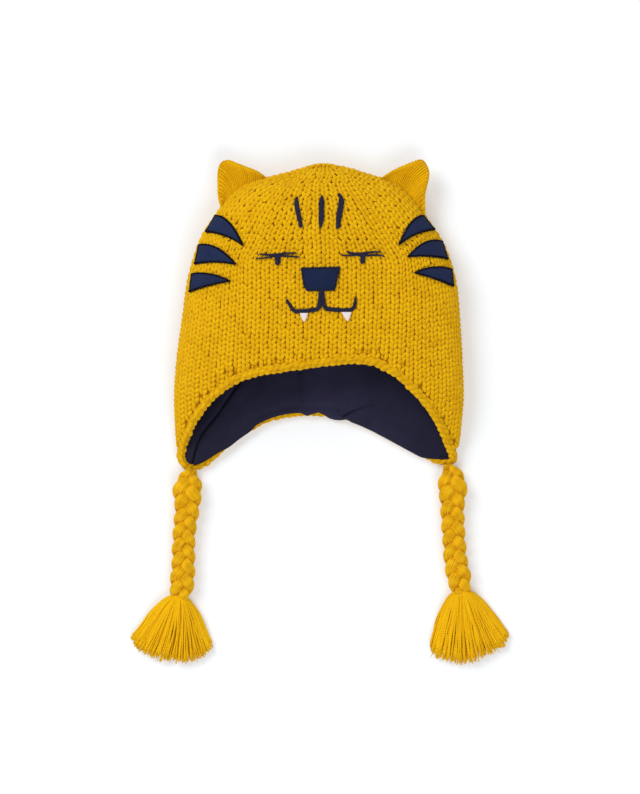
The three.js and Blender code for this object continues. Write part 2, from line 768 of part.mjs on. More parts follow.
const hat = new THREE.Group();
const liningOuter = KNIT_WALL + GAP;
hat.add(mesh('knit_shell', wallInsideTrim(0, KNIT_WALL), MUSTARD, 0.95));
hat.add(mesh('lining', wallInsideTrim(liningOuter, liningOuter + LINING_WALL), LINING_NAVY, 1));
hat.add(mesh('rim_trim', cordRoundRim(TRIM_ACROSS / 2), MUSTARD, 0.95));
hat.add(mesh('ear_left', ear(-1, EAR_LEFT), MUSTARD, 0.95));
hat.add(mesh('ear_right', ear(1, EAR_RIGHT), MUSTARD, 0.95));
for (const { name, tip, top, low, swell } of STRIPES) {
  const rows = Array.from({ length: STRIPE_ROWS + 1 }, (_, k) => {
    const t = STRIPE_TIP_CUT + ((1 - STRIPE_TIP_CUT) * k) / STRIPE_ROWS;
    const curve = 4 * t * (1 - t);
    const edge = ([x, y], bulge) =>
      [tip[0] + (x - tip[0]) * t, tip[1] + (y - tip[1]) * t + bulge * curve];
    return { a: edge(top, swell[0]), b: edge(low, swell[1]) };
  });
  const turned = tip[0] > 0 ? rows.map(({ a, b }) => ({ a: b, b: a })) : rows;
  hat.add(mesh(name, sewnOn(turned, APPLIQUE_THICKNESS), NAVY, 0.7));
}
hat.add(mesh('nose', sewnOn(NOSE, APPLIQUE_THICKNESS), NAVY, 0.7));
for (const { name, tip, corners } of FANGS) {
  const end = { a: [tip[0] - FANG_TIP / 2, tip[1]], b: [tip[0] + FANG_TIP / 2, tip[1]] };
  const rows = [{ a: corners[0], b: corners[1] }, end];
  hat.add(mesh(name, sewnOn(rows, THREAD_THICKNESS), WHITE, 0.8));
}
for (const { name, lines } of THREADS) {
  const strokes = lines.map((points) => solidOf(sewnOn(threadRows(points), THREAD_THICKNESS)));
  const joined = strokes.reduce((sum, one) => sum.add(one));
  hat.add(mesh(name, geometryOfSolid(joined), NAVY, 0.8));
}
for (const { side, route, ends } of TIES) {
  hat.add(mesh('braid_' + side, braid(route), MUSTARD, 0.95));
  hat.add(mesh('tassel_' + side, tassel(route, ends), MUSTARD, 0.95));
}

export default hat;
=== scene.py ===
# %% [markdown]
# # A knitted tiger hat, lying on its back
#
# The hat is a child's winter hat: a bulky knitted shell with two ear flaps, a dark
# fleece lining, a rounded edging, cupped ears, a sewn face, and a plait with a
# tassel on each flap. The plain solids of every piece come in with the frame, and
# this lesson dresses them, one piece at a time, in the same place and at the same
# size. First the frame is loaded.

# %% Load the frame
import math
import random

import bmesh
import bpy
import numpy as np
from mathutils.bvhtree import BVHTree
from mathutils import Matrix, Vector, noise


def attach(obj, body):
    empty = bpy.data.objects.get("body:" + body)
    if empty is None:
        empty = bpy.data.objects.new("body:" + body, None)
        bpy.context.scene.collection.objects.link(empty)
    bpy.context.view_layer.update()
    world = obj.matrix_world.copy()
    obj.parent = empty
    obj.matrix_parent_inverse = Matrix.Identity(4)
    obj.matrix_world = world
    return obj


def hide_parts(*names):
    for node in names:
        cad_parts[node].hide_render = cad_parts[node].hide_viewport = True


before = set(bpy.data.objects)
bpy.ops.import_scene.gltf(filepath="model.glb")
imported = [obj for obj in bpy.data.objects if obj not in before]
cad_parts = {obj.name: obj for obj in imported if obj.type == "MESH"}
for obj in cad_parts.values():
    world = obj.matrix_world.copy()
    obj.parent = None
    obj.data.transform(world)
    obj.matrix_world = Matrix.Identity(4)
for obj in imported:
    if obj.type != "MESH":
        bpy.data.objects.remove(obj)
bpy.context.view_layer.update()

MM = 0.001

# %% [markdown]
# ## The camera, the floor and the light
#
# The photograph looks straight down on the hat from far away, so the camera stands
# high above the floor with a long lens. The picture is 640 by 794 points, and one
# point is 0.72 mm on the hat.

# %% Camera
POINT = 0.72 * MM
PICTURE_WIDE, PICTURE_HIGH = 640, 794
CAMERA_UP = 4.0
FOCUS_UP = 0.02
camera_data = bpy.data.cameras.new("camera")
camera = bpy.data.objects.new("camera", camera_data)
bpy.context.scene.collection.objects.link(camera)
bpy.context.scene.camera = camera
camera_data.sensor_width = 36
camera_data.lens = 36 * (CAMERA_UP - FOCUS_UP) / (PICTURE_HIGH * POINT)
camera_data.clip_end = 50
camera.location = ((PICTURE_WIDE / 2 - 318.75) * POINT, (315.25 - PICTURE_HIGH / 2) * POINT, CAMERA_UP)
print("camera lens", round(camera_data.lens, 1), "mm at", [round(v, 4) for v in camera.location])

# %% [markdown]
# A white sheet of card with a faint painted glow of its own, and a soft light from
# the upper left, give the pale ground and the faint shadow on the right. A second
# broad light fills the shadows, and the world adds a little light from all round.

# %% Floor and lights
SCENE = bpy.context.scene
SCENE.view_settings.view_transform = "Standard"
SCENE.view_settings.exposure = 0.0


def area_light(name, place, size, power, aim=(0, -0.03, 0)):
    data = bpy.data.lights.new(name, "AREA")
    data.shape = "DISK"
    data.size = size
    data.energy = power
    lamp = bpy.data.objects.new(name, data)
    SCENE.collection.objects.link(lamp)
    lamp.location = place
    lamp.rotation_euler = (Vector(aim) - Vector(place)).to_track_quat("-Z", "Y").to_euler()
    return lamp


KEY = area_light("key_light", (-2.1, 1.9, 2.8), 2.3, 83.0)
FILL = area_light("fill_light", (0.9, -2.2, 3.1), 2.6, 42.0)
world = bpy.data.worlds.new("studio")
SCENE.world = world
world.use_nodes = True
world.node_tree.nodes["Background"].inputs["Color"].default_value = (1, 1, 1, 1)
world.node_tree.nodes["Background"].inputs["Strength"].default_value = 0.56
card = bmesh.new()
bmesh.ops.create_grid(card, x_segments=2, y_segments=2, size=6)
floor_mesh = bpy.data.meshes.new("floor")
card.to_mesh(floor_mesh)
card.free()
floor = bpy.data.objects.new("floor", floor_mesh)
SCENE.collection.objects.link(floor)
floor.location.z = -0.0002
print("lights:", KEY.name, FILL.name)

# %% [markdown]
# ## Shader maths as sentences
#
# A material is a small sum: noise here, a stripe there. Wrapping a socket in a class
# with plus, minus and times lets each material below read as one expression.

# %% A socket that can be added and multiplied
class Value:
    def __init__(self, material, socket):
        self.material = material
        self.socket = socket

    def maths(self, operation, other, swapped=False):
        pair = [other, self] if swapped else [self, other]
        return self.material.node("ShaderNodeMath", {"operation": operation}, {0: pair[0], 1: pair[1]})

    def __add__(self, other):
        return self.maths("ADD", other)

    def __sub__(self, other):
        return self.maths("SUBTRACT", other)

    def __rsub__(self, other):
        return self.maths("SUBTRACT", other, True)

    def __mul__(self, other):
        return self.maths("MULTIPLY", other)

    def __pow__(self, other):
        return self.maths("POWER", other)

    __radd__ = __add__
    __rmul__ = __mul__


# %% A material with one way to add nodes
class Finish:
    def __init__(self, name, **constants):
        self.data = bpy.data.materials.new(name)
        self.data.use_nodes = True
        self.tree = self.data.node_tree
        self.shader = self.tree.nodes["Principled BSDF"]
        for socket, value in constants.items():
            self.shader.inputs[socket.replace("_", " ")].default_value = value

    def node(self, kind, settings=None, inputs=None, out=0):
        made = self.tree.nodes.new(kind)
        for key, value in (settings or {}).items():
            if key == "stops":
                ramp = made.color_ramp
                for at, colour in value[2:]:
                    ramp.elements.new(at)
                for element, (at, colour) in zip(ramp.elements, sorted(value)):
                    element.position = at
                    element.color = (*colour, 1)
            else:
                setattr(made, key, value)
        for key, value in (inputs or {}).items():
            if isinstance(value, Value):
                self.tree.links.new(value.socket, made.inputs[key])
            else:
                made.inputs[key].default_value = value
        return Value(self, made.outputs[out])

    def feed(self, **links):
        for name, value in links.items():
            self.tree.links.new(value.socket, self.shader.inputs[name.replace("_", " ")])
        return self

    def place(self, scale=1.0):
        coords = self.node("ShaderNodeTexCoord", out="Object")
        return self.node("ShaderNodeMapping", {}, {"Vector": coords, "Scale": (scale,) * 3})

    def noise(self, scale, detail=2.0, roughness=0.5, vector=None):
        inputs = {"Vector": vector or self.place(), "Scale": scale, "Detail": detail, "Roughness": roughness}
        return self.node("ShaderNodeTexNoise", {}, inputs)

    def attribute(self, name):
        return self.node("ShaderNodeAttribute", {"attribute_name": name}, out="Fac")

    def ramp(self, value, *stops):
        return self.node("ShaderNodeValToRGB", {"stops": stops}, {"Fac": value}, "Color")

    def mix(self, factor, first, second, blend="MIX"):
        settings = {"data_type": "RGBA", "blend_type": blend}
        return self.node("ShaderNodeMix", settings, {"Factor": factor, 6: first, 7: second}, 2)

    def bump(self, height, strength, distance):
        inputs = {"Height": height, "Strength": strength, "Distance": distance}
        return self.node("ShaderNodeBump", {}, inputs)


def srgb(*values):
    return tuple((v / 255 / 12.92) if v < 11 else ((v / 255 + 0.055) / 1.055) ** 2.4 for v in values)


print("mustard in linear light:", [round(v, 3) for v in srgb(235, 178, 24)])

# %% [markdown]
# The card is matt paper with the faintest mottle. It glows a little, a painted glow
# that lifts the shadows on it, and its colour is tinted faintly blue, painted to
# cancel the yellow light that the hat throws into those shadows.

# %% Card finish
# Painted light: the card's emission is a painted glow, and the blue in its base colour cancels the yellow bounce from
# the hat.
paper = Finish("paper", Roughness=0.95, Emission_Color=(1, 1, 1, 1), Emission_Strength=0.21)
paper_tone = paper.noise(30.0, 3.0)
paper.feed(Base_Color=paper.ramp(paper_tone, (0.0, (0.735, 0.765, 0.8)), (1.0, (0.755, 0.785, 0.82))))
floor.data.materials.append(paper.data)
print("card finish:", len(paper.tree.nodes), "nodes")

# %% [markdown]
# ## Yarn
#
# Everything but the lining and the face is mustard yarn: soft, matt, spun from
# plies that twist round each other. Each stitch or strand below carries a tone of
# its own and a map that runs along it, so the yarn can vary from piece to piece
# and its plies can wind along each strand.

# %% Yarn finish
def yarn_finish(name, base, deep, light, plies, wind, bump=0.0005):
    made = Finish(name, Roughness=0.92, Sheen_Weight=0.03, Sheen_Roughness=0.5, Specular_IOR_Level=0.06)
    coords = made.node("ShaderNodeUVMap", {"uv_map": "UVMap"})
    split = made.node("ShaderNodeSeparateXYZ", {}, {0: coords})
    around = split
    along = Value(made, split.socket.node.outputs[1])
    twist = made.node("ShaderNodeMath", {"operation": "SINE"}, {0: (around * plies + along * wind) * (2 * math.pi)})
    fibre = made.noise(2600.0, 2.0, 0.6)
    patch = made.noise(70.0, 3.0, 0.6)
    tone = made.attribute("tone") * 0.2 + patch * 0.4 + fibre * 0.22 + twist * 0.09 + 0.13
    colour = made.ramp(tone, (0.3, deep), (0.85, light), (0.55, base))
    height = twist * 0.6 + fibre * 0.7
    made.feed(Base_Color=colour, Normal=made.bump(height, 0.55, bump))
    made.feed(Roughness=fibre * 0.12 + 0.84)
    return made


MUSTARD = yarn_finish("mustard_yarn", srgb(229, 177, 10), srgb(212, 157, 6), srgb(238, 188, 15), 3, 1.8)
EDGED = yarn_finish("edging_mustard", srgb(222, 170, 9), srgb(196, 143, 5), srgb(232, 181, 14), 3, 1.8)
PLIED = yarn_finish("plied_mustard", srgb(234, 180, 18), srgb(216, 159, 10), srgb(244, 193, 27), 2, 30)
# Painted light: the tassel strands are a lighter mustard than the knit, making up for the shade between the strands.
STRAND = yarn_finish("mustard_strand", srgb(247, 191, 12), srgb(234, 174, 8), srgb(252, 202, 18), 2, 30)
print("yarn finishes:", MUSTARD.data.name, PLIED.data.name, STRAND.data.name)

# %% [markdown]
# ## Many small things in one mesh
#
# A stitch or a strand is modelled once with bmesh, with few faces, and repeated by
# moving its corners with arrays. The helper joins all the copies into one mesh and
# gives each copy its tone.

# %% Join the copies of one small shape
def template_of(bm):
    """Corners, faces and face-corner map values of a small shape."""
    layer = bm.loops.layers.uv.verify()
    bm.verts.ensure_lookup_table()
    corners = np.array([v.co[:] for v in bm.verts])
    faces = [[loop.vert.index for loop in face.loops] for face in bm.faces]
    maps = np.array([loop[layer].uv[:] for face in bm.faces for loop in face.loops])
    return corners, faces, maps


def joined(name, template, placed, finish, seed=1, body="root"):
    """One object from copies of a template, placed as an array of copies by corners by 3."""
    corners, faces, maps = template
    copies, size = len(placed), len(corners)
    flat = np.array([i for face in faces for i in face])
    sizes = np.array([len(face) for face in faces])
    mesh = bpy.data.meshes.new(name)
    mesh.vertices.add(copies * size)
    mesh.vertices.foreach_set("co", np.asarray(placed, float).reshape(-1))
    mesh.loops.add(copies * len(flat))
    steps = np.arange(copies)[:, None] * size
    mesh.loops.foreach_set("vertex_index", (flat[None, :] + steps).reshape(-1).astype(np.int32))
    mesh.polygons.add(copies * len(sizes))
    starts = np.concatenate([[0], np.cumsum(sizes)[:-1]])
    all_starts = (starts[None, :] + np.arange(copies)[:, None] * len(flat)).reshape(-1)
    mesh.polygons.foreach_set("loop_start", all_starts.astype(np.int32))
    mesh.polygons.foreach_set("use_smooth", np.ones(copies * len(sizes), bool))
    mesh.update(calc_edges=True)
    mesh.uv_layers.new(name="UVMap").data.foreach_set("uv", np.tile(maps, (copies, 1)).reshape(-1))
    chance = np.random.default_rng(seed)
    tones = np.repeat(chance.random(copies), size)
    mesh.attributes.new("tone", "FLOAT", "POINT").data.foreach_set("value", tones.astype(np.float32))
    mesh.validate()
    made = bpy.data.objects.new(name, mesh)
    SCENE.collection.objects.link(made)
    mesh.materials.append(finish.data)
    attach(made, body)
    triangles = copies * sum(len(face) - 2 for face in faces)
    print(f"{name}: {copies} copies, {triangles} triangles")
    return made


# %% [markdown]
# ## The plaits and their tassels
#
# On the real hat each plait is three thick strands, and each strand is a bundle of
# yarns. So a strand's middle line weaves from side to side twice as slowly as it
# weaves up and down, and its yarns lie round that line and turn slowly about it.
# The routes are the ones that the solids follow.

# %% Routes of the plaits and the ends of the tassels, in millimetres
ROUTES = {
    "left": [
        (-92, -112.2), (-94.2, -121), (-94.9, -130), (-95.2, -140), (-96.6, -151.8),
        (-97.6, -164.6), (-97.9, -181), (-99, -195), (-100.5, -204.6),
    ],
    "right": [
        (94.2, -108.9), (95.6, -115), (96.6, -124), (96.6, -138), (97, -152),
        (98, -166), (99, -178), (101.4, -190), (103.3, -200.4),
    ],
}
PLAIT_HIGH = 13.0
PLAIT_TURN = 31.5


def smooth_path(points, count):
    """Points at even steps along a smooth line through the given plan points."""
    line = [Vector((x, y)) for x, y in points]
    ends = [line[0] * 2 - line[1], *line, line[-1] * 2 - line[-2]]
    fine = []
    for i in range(1, len(ends) - 2):
        a, b, c, d = ends[i - 1:i + 3]
        for k in range(12):
            t = k / 12
            fine.append(((2 * b) + (c - a) * t + (2 * a - 5 * b + 4 * c - d) * t ** 2
                         + (3 * b - a - 3 * c + d) * t ** 3) / 2)
    fine.append(line[-1])
    run = np.concatenate([[0], np.cumsum([(q - p).length for p, q in zip(fine, fine[1:])])])
    even = np.linspace(0, run[-1], count)
    return np.stack([np.interp(even, run, [p[i] for p in fine]) for i in (0, 1)], 1), run[-1]


for tie, route in ROUTES.items():
    print("plait", tie, "length", round(smooth_path(route, 90)[1], 1), "mm")

# %% A thin tube as the template of a yarn
def tube_template(rings, sides):
    """A closed tube of unit radius along z, from 0 to 1, with its map along it."""
    bm = bmesh.new()
    bmesh.ops.create_circle(bm, cap_ends=True, segments=sides, radius=1)
    ring = list(bm.edges)
    for k in range(1, rings):
        grown = bmesh.ops.extrude_edge_only(bm, edges=ring)["geom"]
        ring = [item for item in grown if isinstance(item, bmesh.types.BMEdge)]
        for vert in {v for edge in ring for v in edge.verts}:
            vert.co.z = k / (rings - 1)
        ring = [edge for edge in ring if all(abs(v.co.z - k / (rings - 1)) < 1e-6 for v in edge.verts)]
    bmesh.ops.contextual_create(bm, geom=ring)
    bmesh.ops.recalc_face_normals(bm, faces=bm.faces)
    layer = bm.loops.layers.uv.verify()
    for face in bm.faces:
        middle = face.calc_center_median()
        for loop in face.loops:
            turn = math.atan2(loop.vert.co.y, loop.vert.co.x) / (2 * math.pi)
            base = math.atan2(middle.y, middle.x) / (2 * math.pi)
            turn += round(base - turn)
            loop[layer].uv = (turn, loop.vert.co.z)
    made = template_of(bm)
    bm.free()
    return made


def along_paths(template, paths, radii, flats=1.0):
    """Bend the tube along each path: paths are copies by rings by 3, radii copies by rings."""
    corners = template[0]
    rings = paths.shape[1]
    which = np.rint(corners[:, 2] * (rings - 1)).astype(int)
    ahead = np.gradient(paths, axis=1)
    ahead /= np.linalg.norm(ahead, axis=2, keepdims=True)
    level = np.cross(ahead, np.array([0, 0, 1.0]))
    level /= np.maximum(np.linalg.norm(level, axis=2, keepdims=True), 1e-9)
    rise = np.cross(level, ahead)
    wide = corners[:, 0][None, :, None] * radii[:, which, None]
    high = corners[:, 1][None, :, None] * radii[:, which, None] * flats
    return paths[:, which] + level[:, which] * wide + rise[:, which] * high


YARN_TUBE = tube_template(97, 6)
print("yarn tube:", len(YARN_TUBE[0]), "corners,", len(YARN_TUBE[1]), "faces")

# %% [markdown]
# A plait starts narrow under the flap, is fattest at its first lobes, and keeps its
# width down to the tassel. Each strand is a smooth bundle: fine yarns lie side by
# side round a thick core that closes the gaps between them.

# %% Plait the strands
GIRTH = [(0, 0.38), (0.03, 0.6), (0.06, 0.9), (0.1, 1.13), (0.15, 1.24), (0.2, 1.21), (0.27, 1.07), (0.36, 1),
         (0.55, 0.97), (0.75, 1), (0.88, 1.04), (0.94, 0.94), (1, 0.7)]


def plait(name, route, seed, yarns=16):
    rings = 97
    plan, length = smooth_path(route, rings)
    ahead = np.gradient(plan, axis=0)
    ahead /= np.linalg.norm(ahead, axis=1, keepdims=True)
    side = np.stack([ahead[:, 1], -ahead[:, 0]], 1)
    t = np.linspace(0, 1, rings)
    plan = plan - ahead * (1.7 * np.exp(-(t / 0.025) ** 2))[:, None]
    girth = np.interp(t, [p for p, _ in GIRTH], [g for _, g in GIRTH])
    chance = np.random.default_rng(seed)
    paths, radii = [], []
    for strand in range(3):
        phase = 2 * math.pi * (t * length / PLAIT_TURN + strand / 3 + 0.1 * seed)
        sway = np.sin(phase) * 4.8 * girth
        lift = PLAIT_HIGH / 2 + np.sin(2 * phase) * 3.5 * girth
        core = np.column_stack([plan + side * sway[:, None], lift])
        run = np.gradient(core, axis=0)
        run /= np.linalg.norm(run, axis=1, keepdims=True)
        level = np.cross(run, [0, 0, 1.0])
        level /= np.linalg.norm(level, axis=1, keepdims=True)
        rise = np.cross(level, run)
        for yarn in range(yarns + 1):
            skin = yarn < yarns
            turn = 2 * math.pi * (yarn / yarns + t * length / 160 + strand * 0.21)
            wobble = 0.12 * np.sin(2 * math.pi * (t * length / chance.uniform(9, 15) + chance.random()))
            across = skin * (np.cos(turn) * 3.3 * girth + wobble)
            up = skin * (np.sin(turn) * 2.7 * girth + chance.normal(0, 0.1))
            paths.append(core + level * across[:, None] + rise * up[:, None])
            radii.append((chance.uniform(0.72, 0.88) if skin else 2.3) * girth)
    paths = np.array(paths)
    paths[..., 2] = np.maximum(paths[..., 2], np.array(radii) * 0.9 + 0.15)
    made = joined(name, YARN_TUBE, along_paths(YARN_TUBE, paths * MM, np.array(radii) * MM, 0.95), PLIED, seed)
    return made, np.column_stack([plan, np.full(rings, PLAIT_HIGH / 2)]) * MM, (length + 1.7) * MM


PLAITS = {}
for seed, tie in enumerate(ROUTES):
    piece, middle, length = plait("plait_" + tie, ROUTES[tie], seed + 1)
    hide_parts("braid_" + tie)
    PLAITS[tie] = (piece, middle, length)

# %% [markdown]
# A tassel is the loose ends of the plait's own yarns below the tie. They swell out
# in a round shoulder and hang like a bell, long in the middle and shorter at the
# sides. Each is a curve between the two edge curves of its tassel, and a few thin
# ones stray.

# %% Fan out the tassels
BELLS = {
    "left": {
        "edges": [[(-103.8, -202), (-116.5, -203.5), (-126.5, -222)], [(-97.1, -203), (-88.4, -207.5), (-84.5, -223.5)]],
        "middle": [(-100.4, -202.2), (-101, -213.5), (-103, -229)],
        "ends": [(-135.4, -233), (-133.4, -238.6), (-128.5, -243), (-121.5, -246.8), (-112, -249.4),
                 (-103, -250.6), (-94.5, -250.8), (-86, -247.8), (-79.5, -243), (-76.8, -238)],
    },
    "right": {
        "edges": [[(100, -198.8), (90.5, -202.5), (85.3, -219)], [(106.6, -198.6), (118.6, -200.4), (126.6, -219)]],
        "middle": [(103.3, -198.8), (104, -209.5), (105.5, -227)],
        "ends": [(80.6, -240), (82.4, -244.5), (87, -248), (94, -250.6), (103, -252), (112.5, -250.8),
                 (122, -246.6), (129.5, -242), (135.2, -237.4), (138.2, -232)],
    },
}
STRAND_TUBE = tube_template(15, 5)


def tassel(name, bell, seed, count=370, strays=5):
    chance = np.random.default_rng(seed)
    edges, middle, ends = np.array(bell["edges"]), np.array(bell["middle"]), np.array(bell["ends"])
    spots = np.linspace(0, 1, len(ends))
    t = np.linspace(0, 1, 15)
    weights = np.stack([(1 - t) ** 3, 3 * t * (1 - t) ** 2, 3 * t ** 2 * (1 - t), t ** 3], 1)
    paths, radii = [], []
    for i in range(count + strays):
        stray = i >= count
        share = chance.random() if stray else np.clip((i + 0.5) / count + chance.normal(0, 0.02), 0, 1)
        layer = 1 - chance.random() ** 1.4
        off = 2 * share - 1
        edge = edges[0] if off < 0 else edges[1]
        end = np.array([np.interp(share, spots, ends[:, k]) for k in (0, 1)])
        points = np.vstack([middle + (edge - middle) * abs(off) ** 0.85, end])
        reach = end - points[0]
        points[3] = points[0] + reach * (chance.uniform(1.0, 1.04) if stray else chance.uniform(0.91, 1.0))
        points[1:] += chance.normal(0, 0.9, (3, 2)) * (2.2 if stray else 1) * [[0.5], [0.8], [1]]
        path = weights @ points
        wave = np.sin(2 * math.pi * (t * chance.uniform(0.8, 2.2) + chance.random())) * chance.uniform(0.1, 0.6) * t
        path = path + wave[:, None] * np.array([reach[1], -reach[0]]) / np.linalg.norm(reach)
        low = np.interp(t, [0, 0.3, 1], [3.6, 0.8, 0.8])
        high = np.interp(t, [0, 0.15, 0.35, 0.7, 1], [9.5, 12, 12.2, 9.5, 7])
        height = low + layer * (high - low) * math.sqrt(1 - 0.85 * off * off)
        paths.append(np.column_stack([path, np.maximum(height, 0.75)]))
        radii.append(np.full(15, 0.22 if stray else chance.uniform(0.52, 0.76)) * (1 - 0.25 * t ** 3))
    paths, radii = np.array(paths) * MM, np.array(radii) * MM
    return joined(name, STRAND_TUBE, along_paths(STRAND_TUBE, paths, radii), STRAND, seed)


for seed, tie in enumerate(ROUTES):
    made = tassel("tassel_yarns_" + tie, BELLS[tie], seed + 11)
    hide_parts("tassel_" + tie)
    piece, middle, length = PLAITS[tie]

# %% [markdown]
# ## The shape of the hat
#
# The shell, the lining and the edging all follow one surface, the same one that the
# solids were made from: an outline seen from the front, the heights of the side
# fold and of the front panel, and the way a knitted round droops between its
# folds. The same short tables describe it here, in millimetres.

# %% Tables of the hat's shape
def table(columns, *rows):
    return {name: [row[i] for row in rows] for i, name in enumerate(columns.split())}


OUTLINE = table(
    "up half centre",
    (108.9, 0, 3.5), (106.9, 13, 4.5), (103.9, 23.2, 5), (98.8, 41.2, 3.6), (96.2, 50.5, 1.6),
    (91, 59.5, 1), (83, 67.8, 0.9), (72, 75.2, 0.9), (62, 82.3, 1), (52, 87.8, 1.5),
    (38.3, 92.9, 2), (21, 97.1, 2.1), (-3.4, 99.8, 1.6), (-32.2, 102.7, 0.5), (-61, 104.4, 0),
    (-82.6, 103.7, -0.5), (-98.5, 102.2, -0.9), (-106, 99.5, -1), (-118, 93, -1),
)
HEIGHTS = table(
    "up fold top",
    (110, 15, 44), (-38, 15, 44), (-62, 13, 37), (-84, 9.5, 26), (-100, 6.5, 15), (-120, 5, 10),
)
ROUNDS = table("middle side", (0, 0), (25, 27), (45, 52), (82, 101), (110, 141.5), (200, 231.5), (290, 321.5))
FRONT_RIM = table(
    "across up",
    (-106, -104), (-100, -95), (-95.2, -79), (-88.7, -69.3), (-79, -58.5), (-67.1, -48.8),
    (-56, -42.6), (-33.7, -39.1), (0, -34.4), (24, -31.4), (41, -31.6), (56, -39.4),
    (70.4, -53.8), (83, -66.8), (90.5, -78.5), (94.6, -91.3), (100, -101), (106, -104),
)
BACK_RIM = table(
    "across up",
    (-106, -103), (-98, -108.2), (-90.5, -109.2), (-81.9, -105), (-64.6, -88.4), (-42.3, -74.3),
    (-15.7, -68.6), (6.7, -69.1), (21.8, -71), (46, -82.6), (72.2, -96.6), (82, -101.5),
    (90.2, -105.2), (97, -105.4), (106, -101),
)
CROWN_CENTRE_UP = 38.3
CROWN_HEIGHT, FOLD_HEIGHT, REST_SINK = 44.0, 15.0, 3.0
FRONT_FULLNESS, BACK_FULLNESS = 2.3, 3.0
SECTION_HALF, SECTION_TAPER = 56.0, 0.8


def read(rows, key, value, column):
    """Smooth curve through the rows of a table, with no overshoot between them."""
    xs, ys = rows[key], rows[column]
    if xs[-1] < xs[0]:
        xs, ys = xs[::-1], ys[::-1]
    last = len(xs) - 1
    value = min(max(value, xs[0]), xs[last])
    i = 0
    while i < last - 1 and value > xs[i + 1]:
        i += 1
    slope = lambda a, b: (ys[b] - ys[a]) / (xs[b] - xs[a])
    even = lambda a, b: 2 * a * b / (a + b) if a * b > 0 else 0.0
    step, here = xs[i + 1] - xs[i], slope(i, i + 1)
    before = slope(i - 1, i) if i else here
    after = slope(i + 1, i + 2) if i + 2 <= last else here
    t = (value - xs[i]) / step
    start, end = even(before, here) * step, even(here, after) * step
    level = (1 + 2 * t) * (1 - t) ** 2 * ys[i] + t * t * (3 - 2 * t) * ys[i + 1]
    return level + (1 - t) ** 2 * t * start + t * t * (t - 1) * end


print("hat outline:", len(OUTLINE["up"]), "rows; half width at the fold", read(OUTLINE, "up", 0, "half"))

# %% [markdown]
# A point of the knit is named by its side, its face, how far down from the crown
# point its round is, and its share of the way round: 0 in the middle of a panel, 1
# at the corner where the crown's decreases run, and 2 at the side fold. The inset
# moves it inwards, through the knit to the lining.

# %% A point of the hat
run = [0.0]
for i in range(1, len(OUTLINE["up"])):
    run.append(run[-1] + math.dist((OUTLINE["half"][i - 1], OUTLINE["up"][i - 1]), (OUTLINE["half"][i], OUTLINE["up"][i])))
FOLD_LINE = {**OUTLINE, "along": run}
crown_rows = [(h, u - CROWN_CENTRE_UP) for u, h in zip(OUTLINE["up"], OUTLINE["half"]) if u >= CROWN_CENTRE_UP]
CROWN_RADII = {"angle": [math.atan2(u, h) for h, u in crown_rows], "radius": [math.hypot(u, h) for h, u in crown_rows]}


def fullness(reach, power):
    return max(0.0, 1 - min(reach, 1.0) ** power) ** (1 / power)


FRONT_LINE = {"along": [0.0], "up": [OUTLINE["up"][0]]}
lift = 0.0
for i in range(1, 61):
    reach = math.sin(math.pi / 2 * (1 - i / 60))
    up = CROWN_CENTRE_UP + (OUTLINE["up"][0] - CROWN_CENTRE_UP) * reach
    now = (CROWN_HEIGHT - FOLD_HEIGHT) * fullness(reach, FRONT_FULLNESS)
    FRONT_LINE["along"].append(FRONT_LINE["along"][-1] + math.hypot(FRONT_LINE["up"][-1] - up, now - lift))
    FRONT_LINE["up"].append(up)
    lift = now
CROWN_LENGTH = FRONT_LINE["along"][-1]


def height_at(up, reach, face, inset):
    fold, top = read(HEIGHTS, "up", up, "fold"), read(HEIGHTS, "up", up, "top")
    if face > 0:
        return fold + (top - inset - fold) * fullness(reach, FRONT_FULLNESS)
    return max(inset, fold - (fold + REST_SINK - inset) * fullness(reach, BACK_FULLNESS))


def place_in_plan(x, up, inset):
    if up <= CROWN_CENTRE_UP:
        half = read(OUTLINE, "up", up, "half")
        return abs(x) / half, x * (half - inset) / half, up
    rise = up - CROWN_CENTRE_UP
    radius = read(CROWN_RADII, "angle", math.atan2(rise, abs(x)), "radius")
    shrink = (radius - inset) / radius
    return math.hypot(x, rise) / radius, x * shrink, CROWN_CENTRE_UP + rise * shrink


def hat_point(side, face, share, down, inset):
    beyond = down - CROWN_LENGTH
    middle = CROWN_CENTRE_UP - beyond if beyond >= 0 else read(FRONT_LINE, "along", down, "up")
    along = read(ROUNDS, "middle", down, "side")
    fold_half, fold_up = read(FOLD_LINE, "along", along, "half"), read(FOLD_LINE, "along", along, "up")
    corner = SECTION_HALF * min(1.0, (down / CROWN_LENGTH) ** SECTION_TAPER)
    past = max(share - 1, 0.0)
    x = min(share, 1.0) * corner + (fold_half - corner) * past
    reach, x, up = place_in_plan(x, middle + (fold_up - middle) * past, inset)
    reach = 1.0 if share >= 2 else reach
    return (read(OUTLINE, "up", up, "centre") + side * x, up, height_at(up, reach, face, inset))


print("crown length", round(CROWN_LENGTH, 1), "mm; a point at the fold:", [round(v, 1) for v in hat_point(1, 1, 2, 100, 0)])

# %% [markdown]
# ## The knit
#
# The shell is stocking stitch: columns of Vs, each V two plump legs of yarn whose
# feet tuck into the V below. There are 72 columns round the hat, in four panels of
# 18, and in the crown each panel loses two stitches every few rounds along its
# corners. One leg is a ball drawn out to a soft spindle. Each is set into its own
# cell of the surface, so the fabric really is made of stitches and its dark gaps
# are real gaps, with an inner sheet behind them that is painted a darker mustard
# for the shade in the gaps.

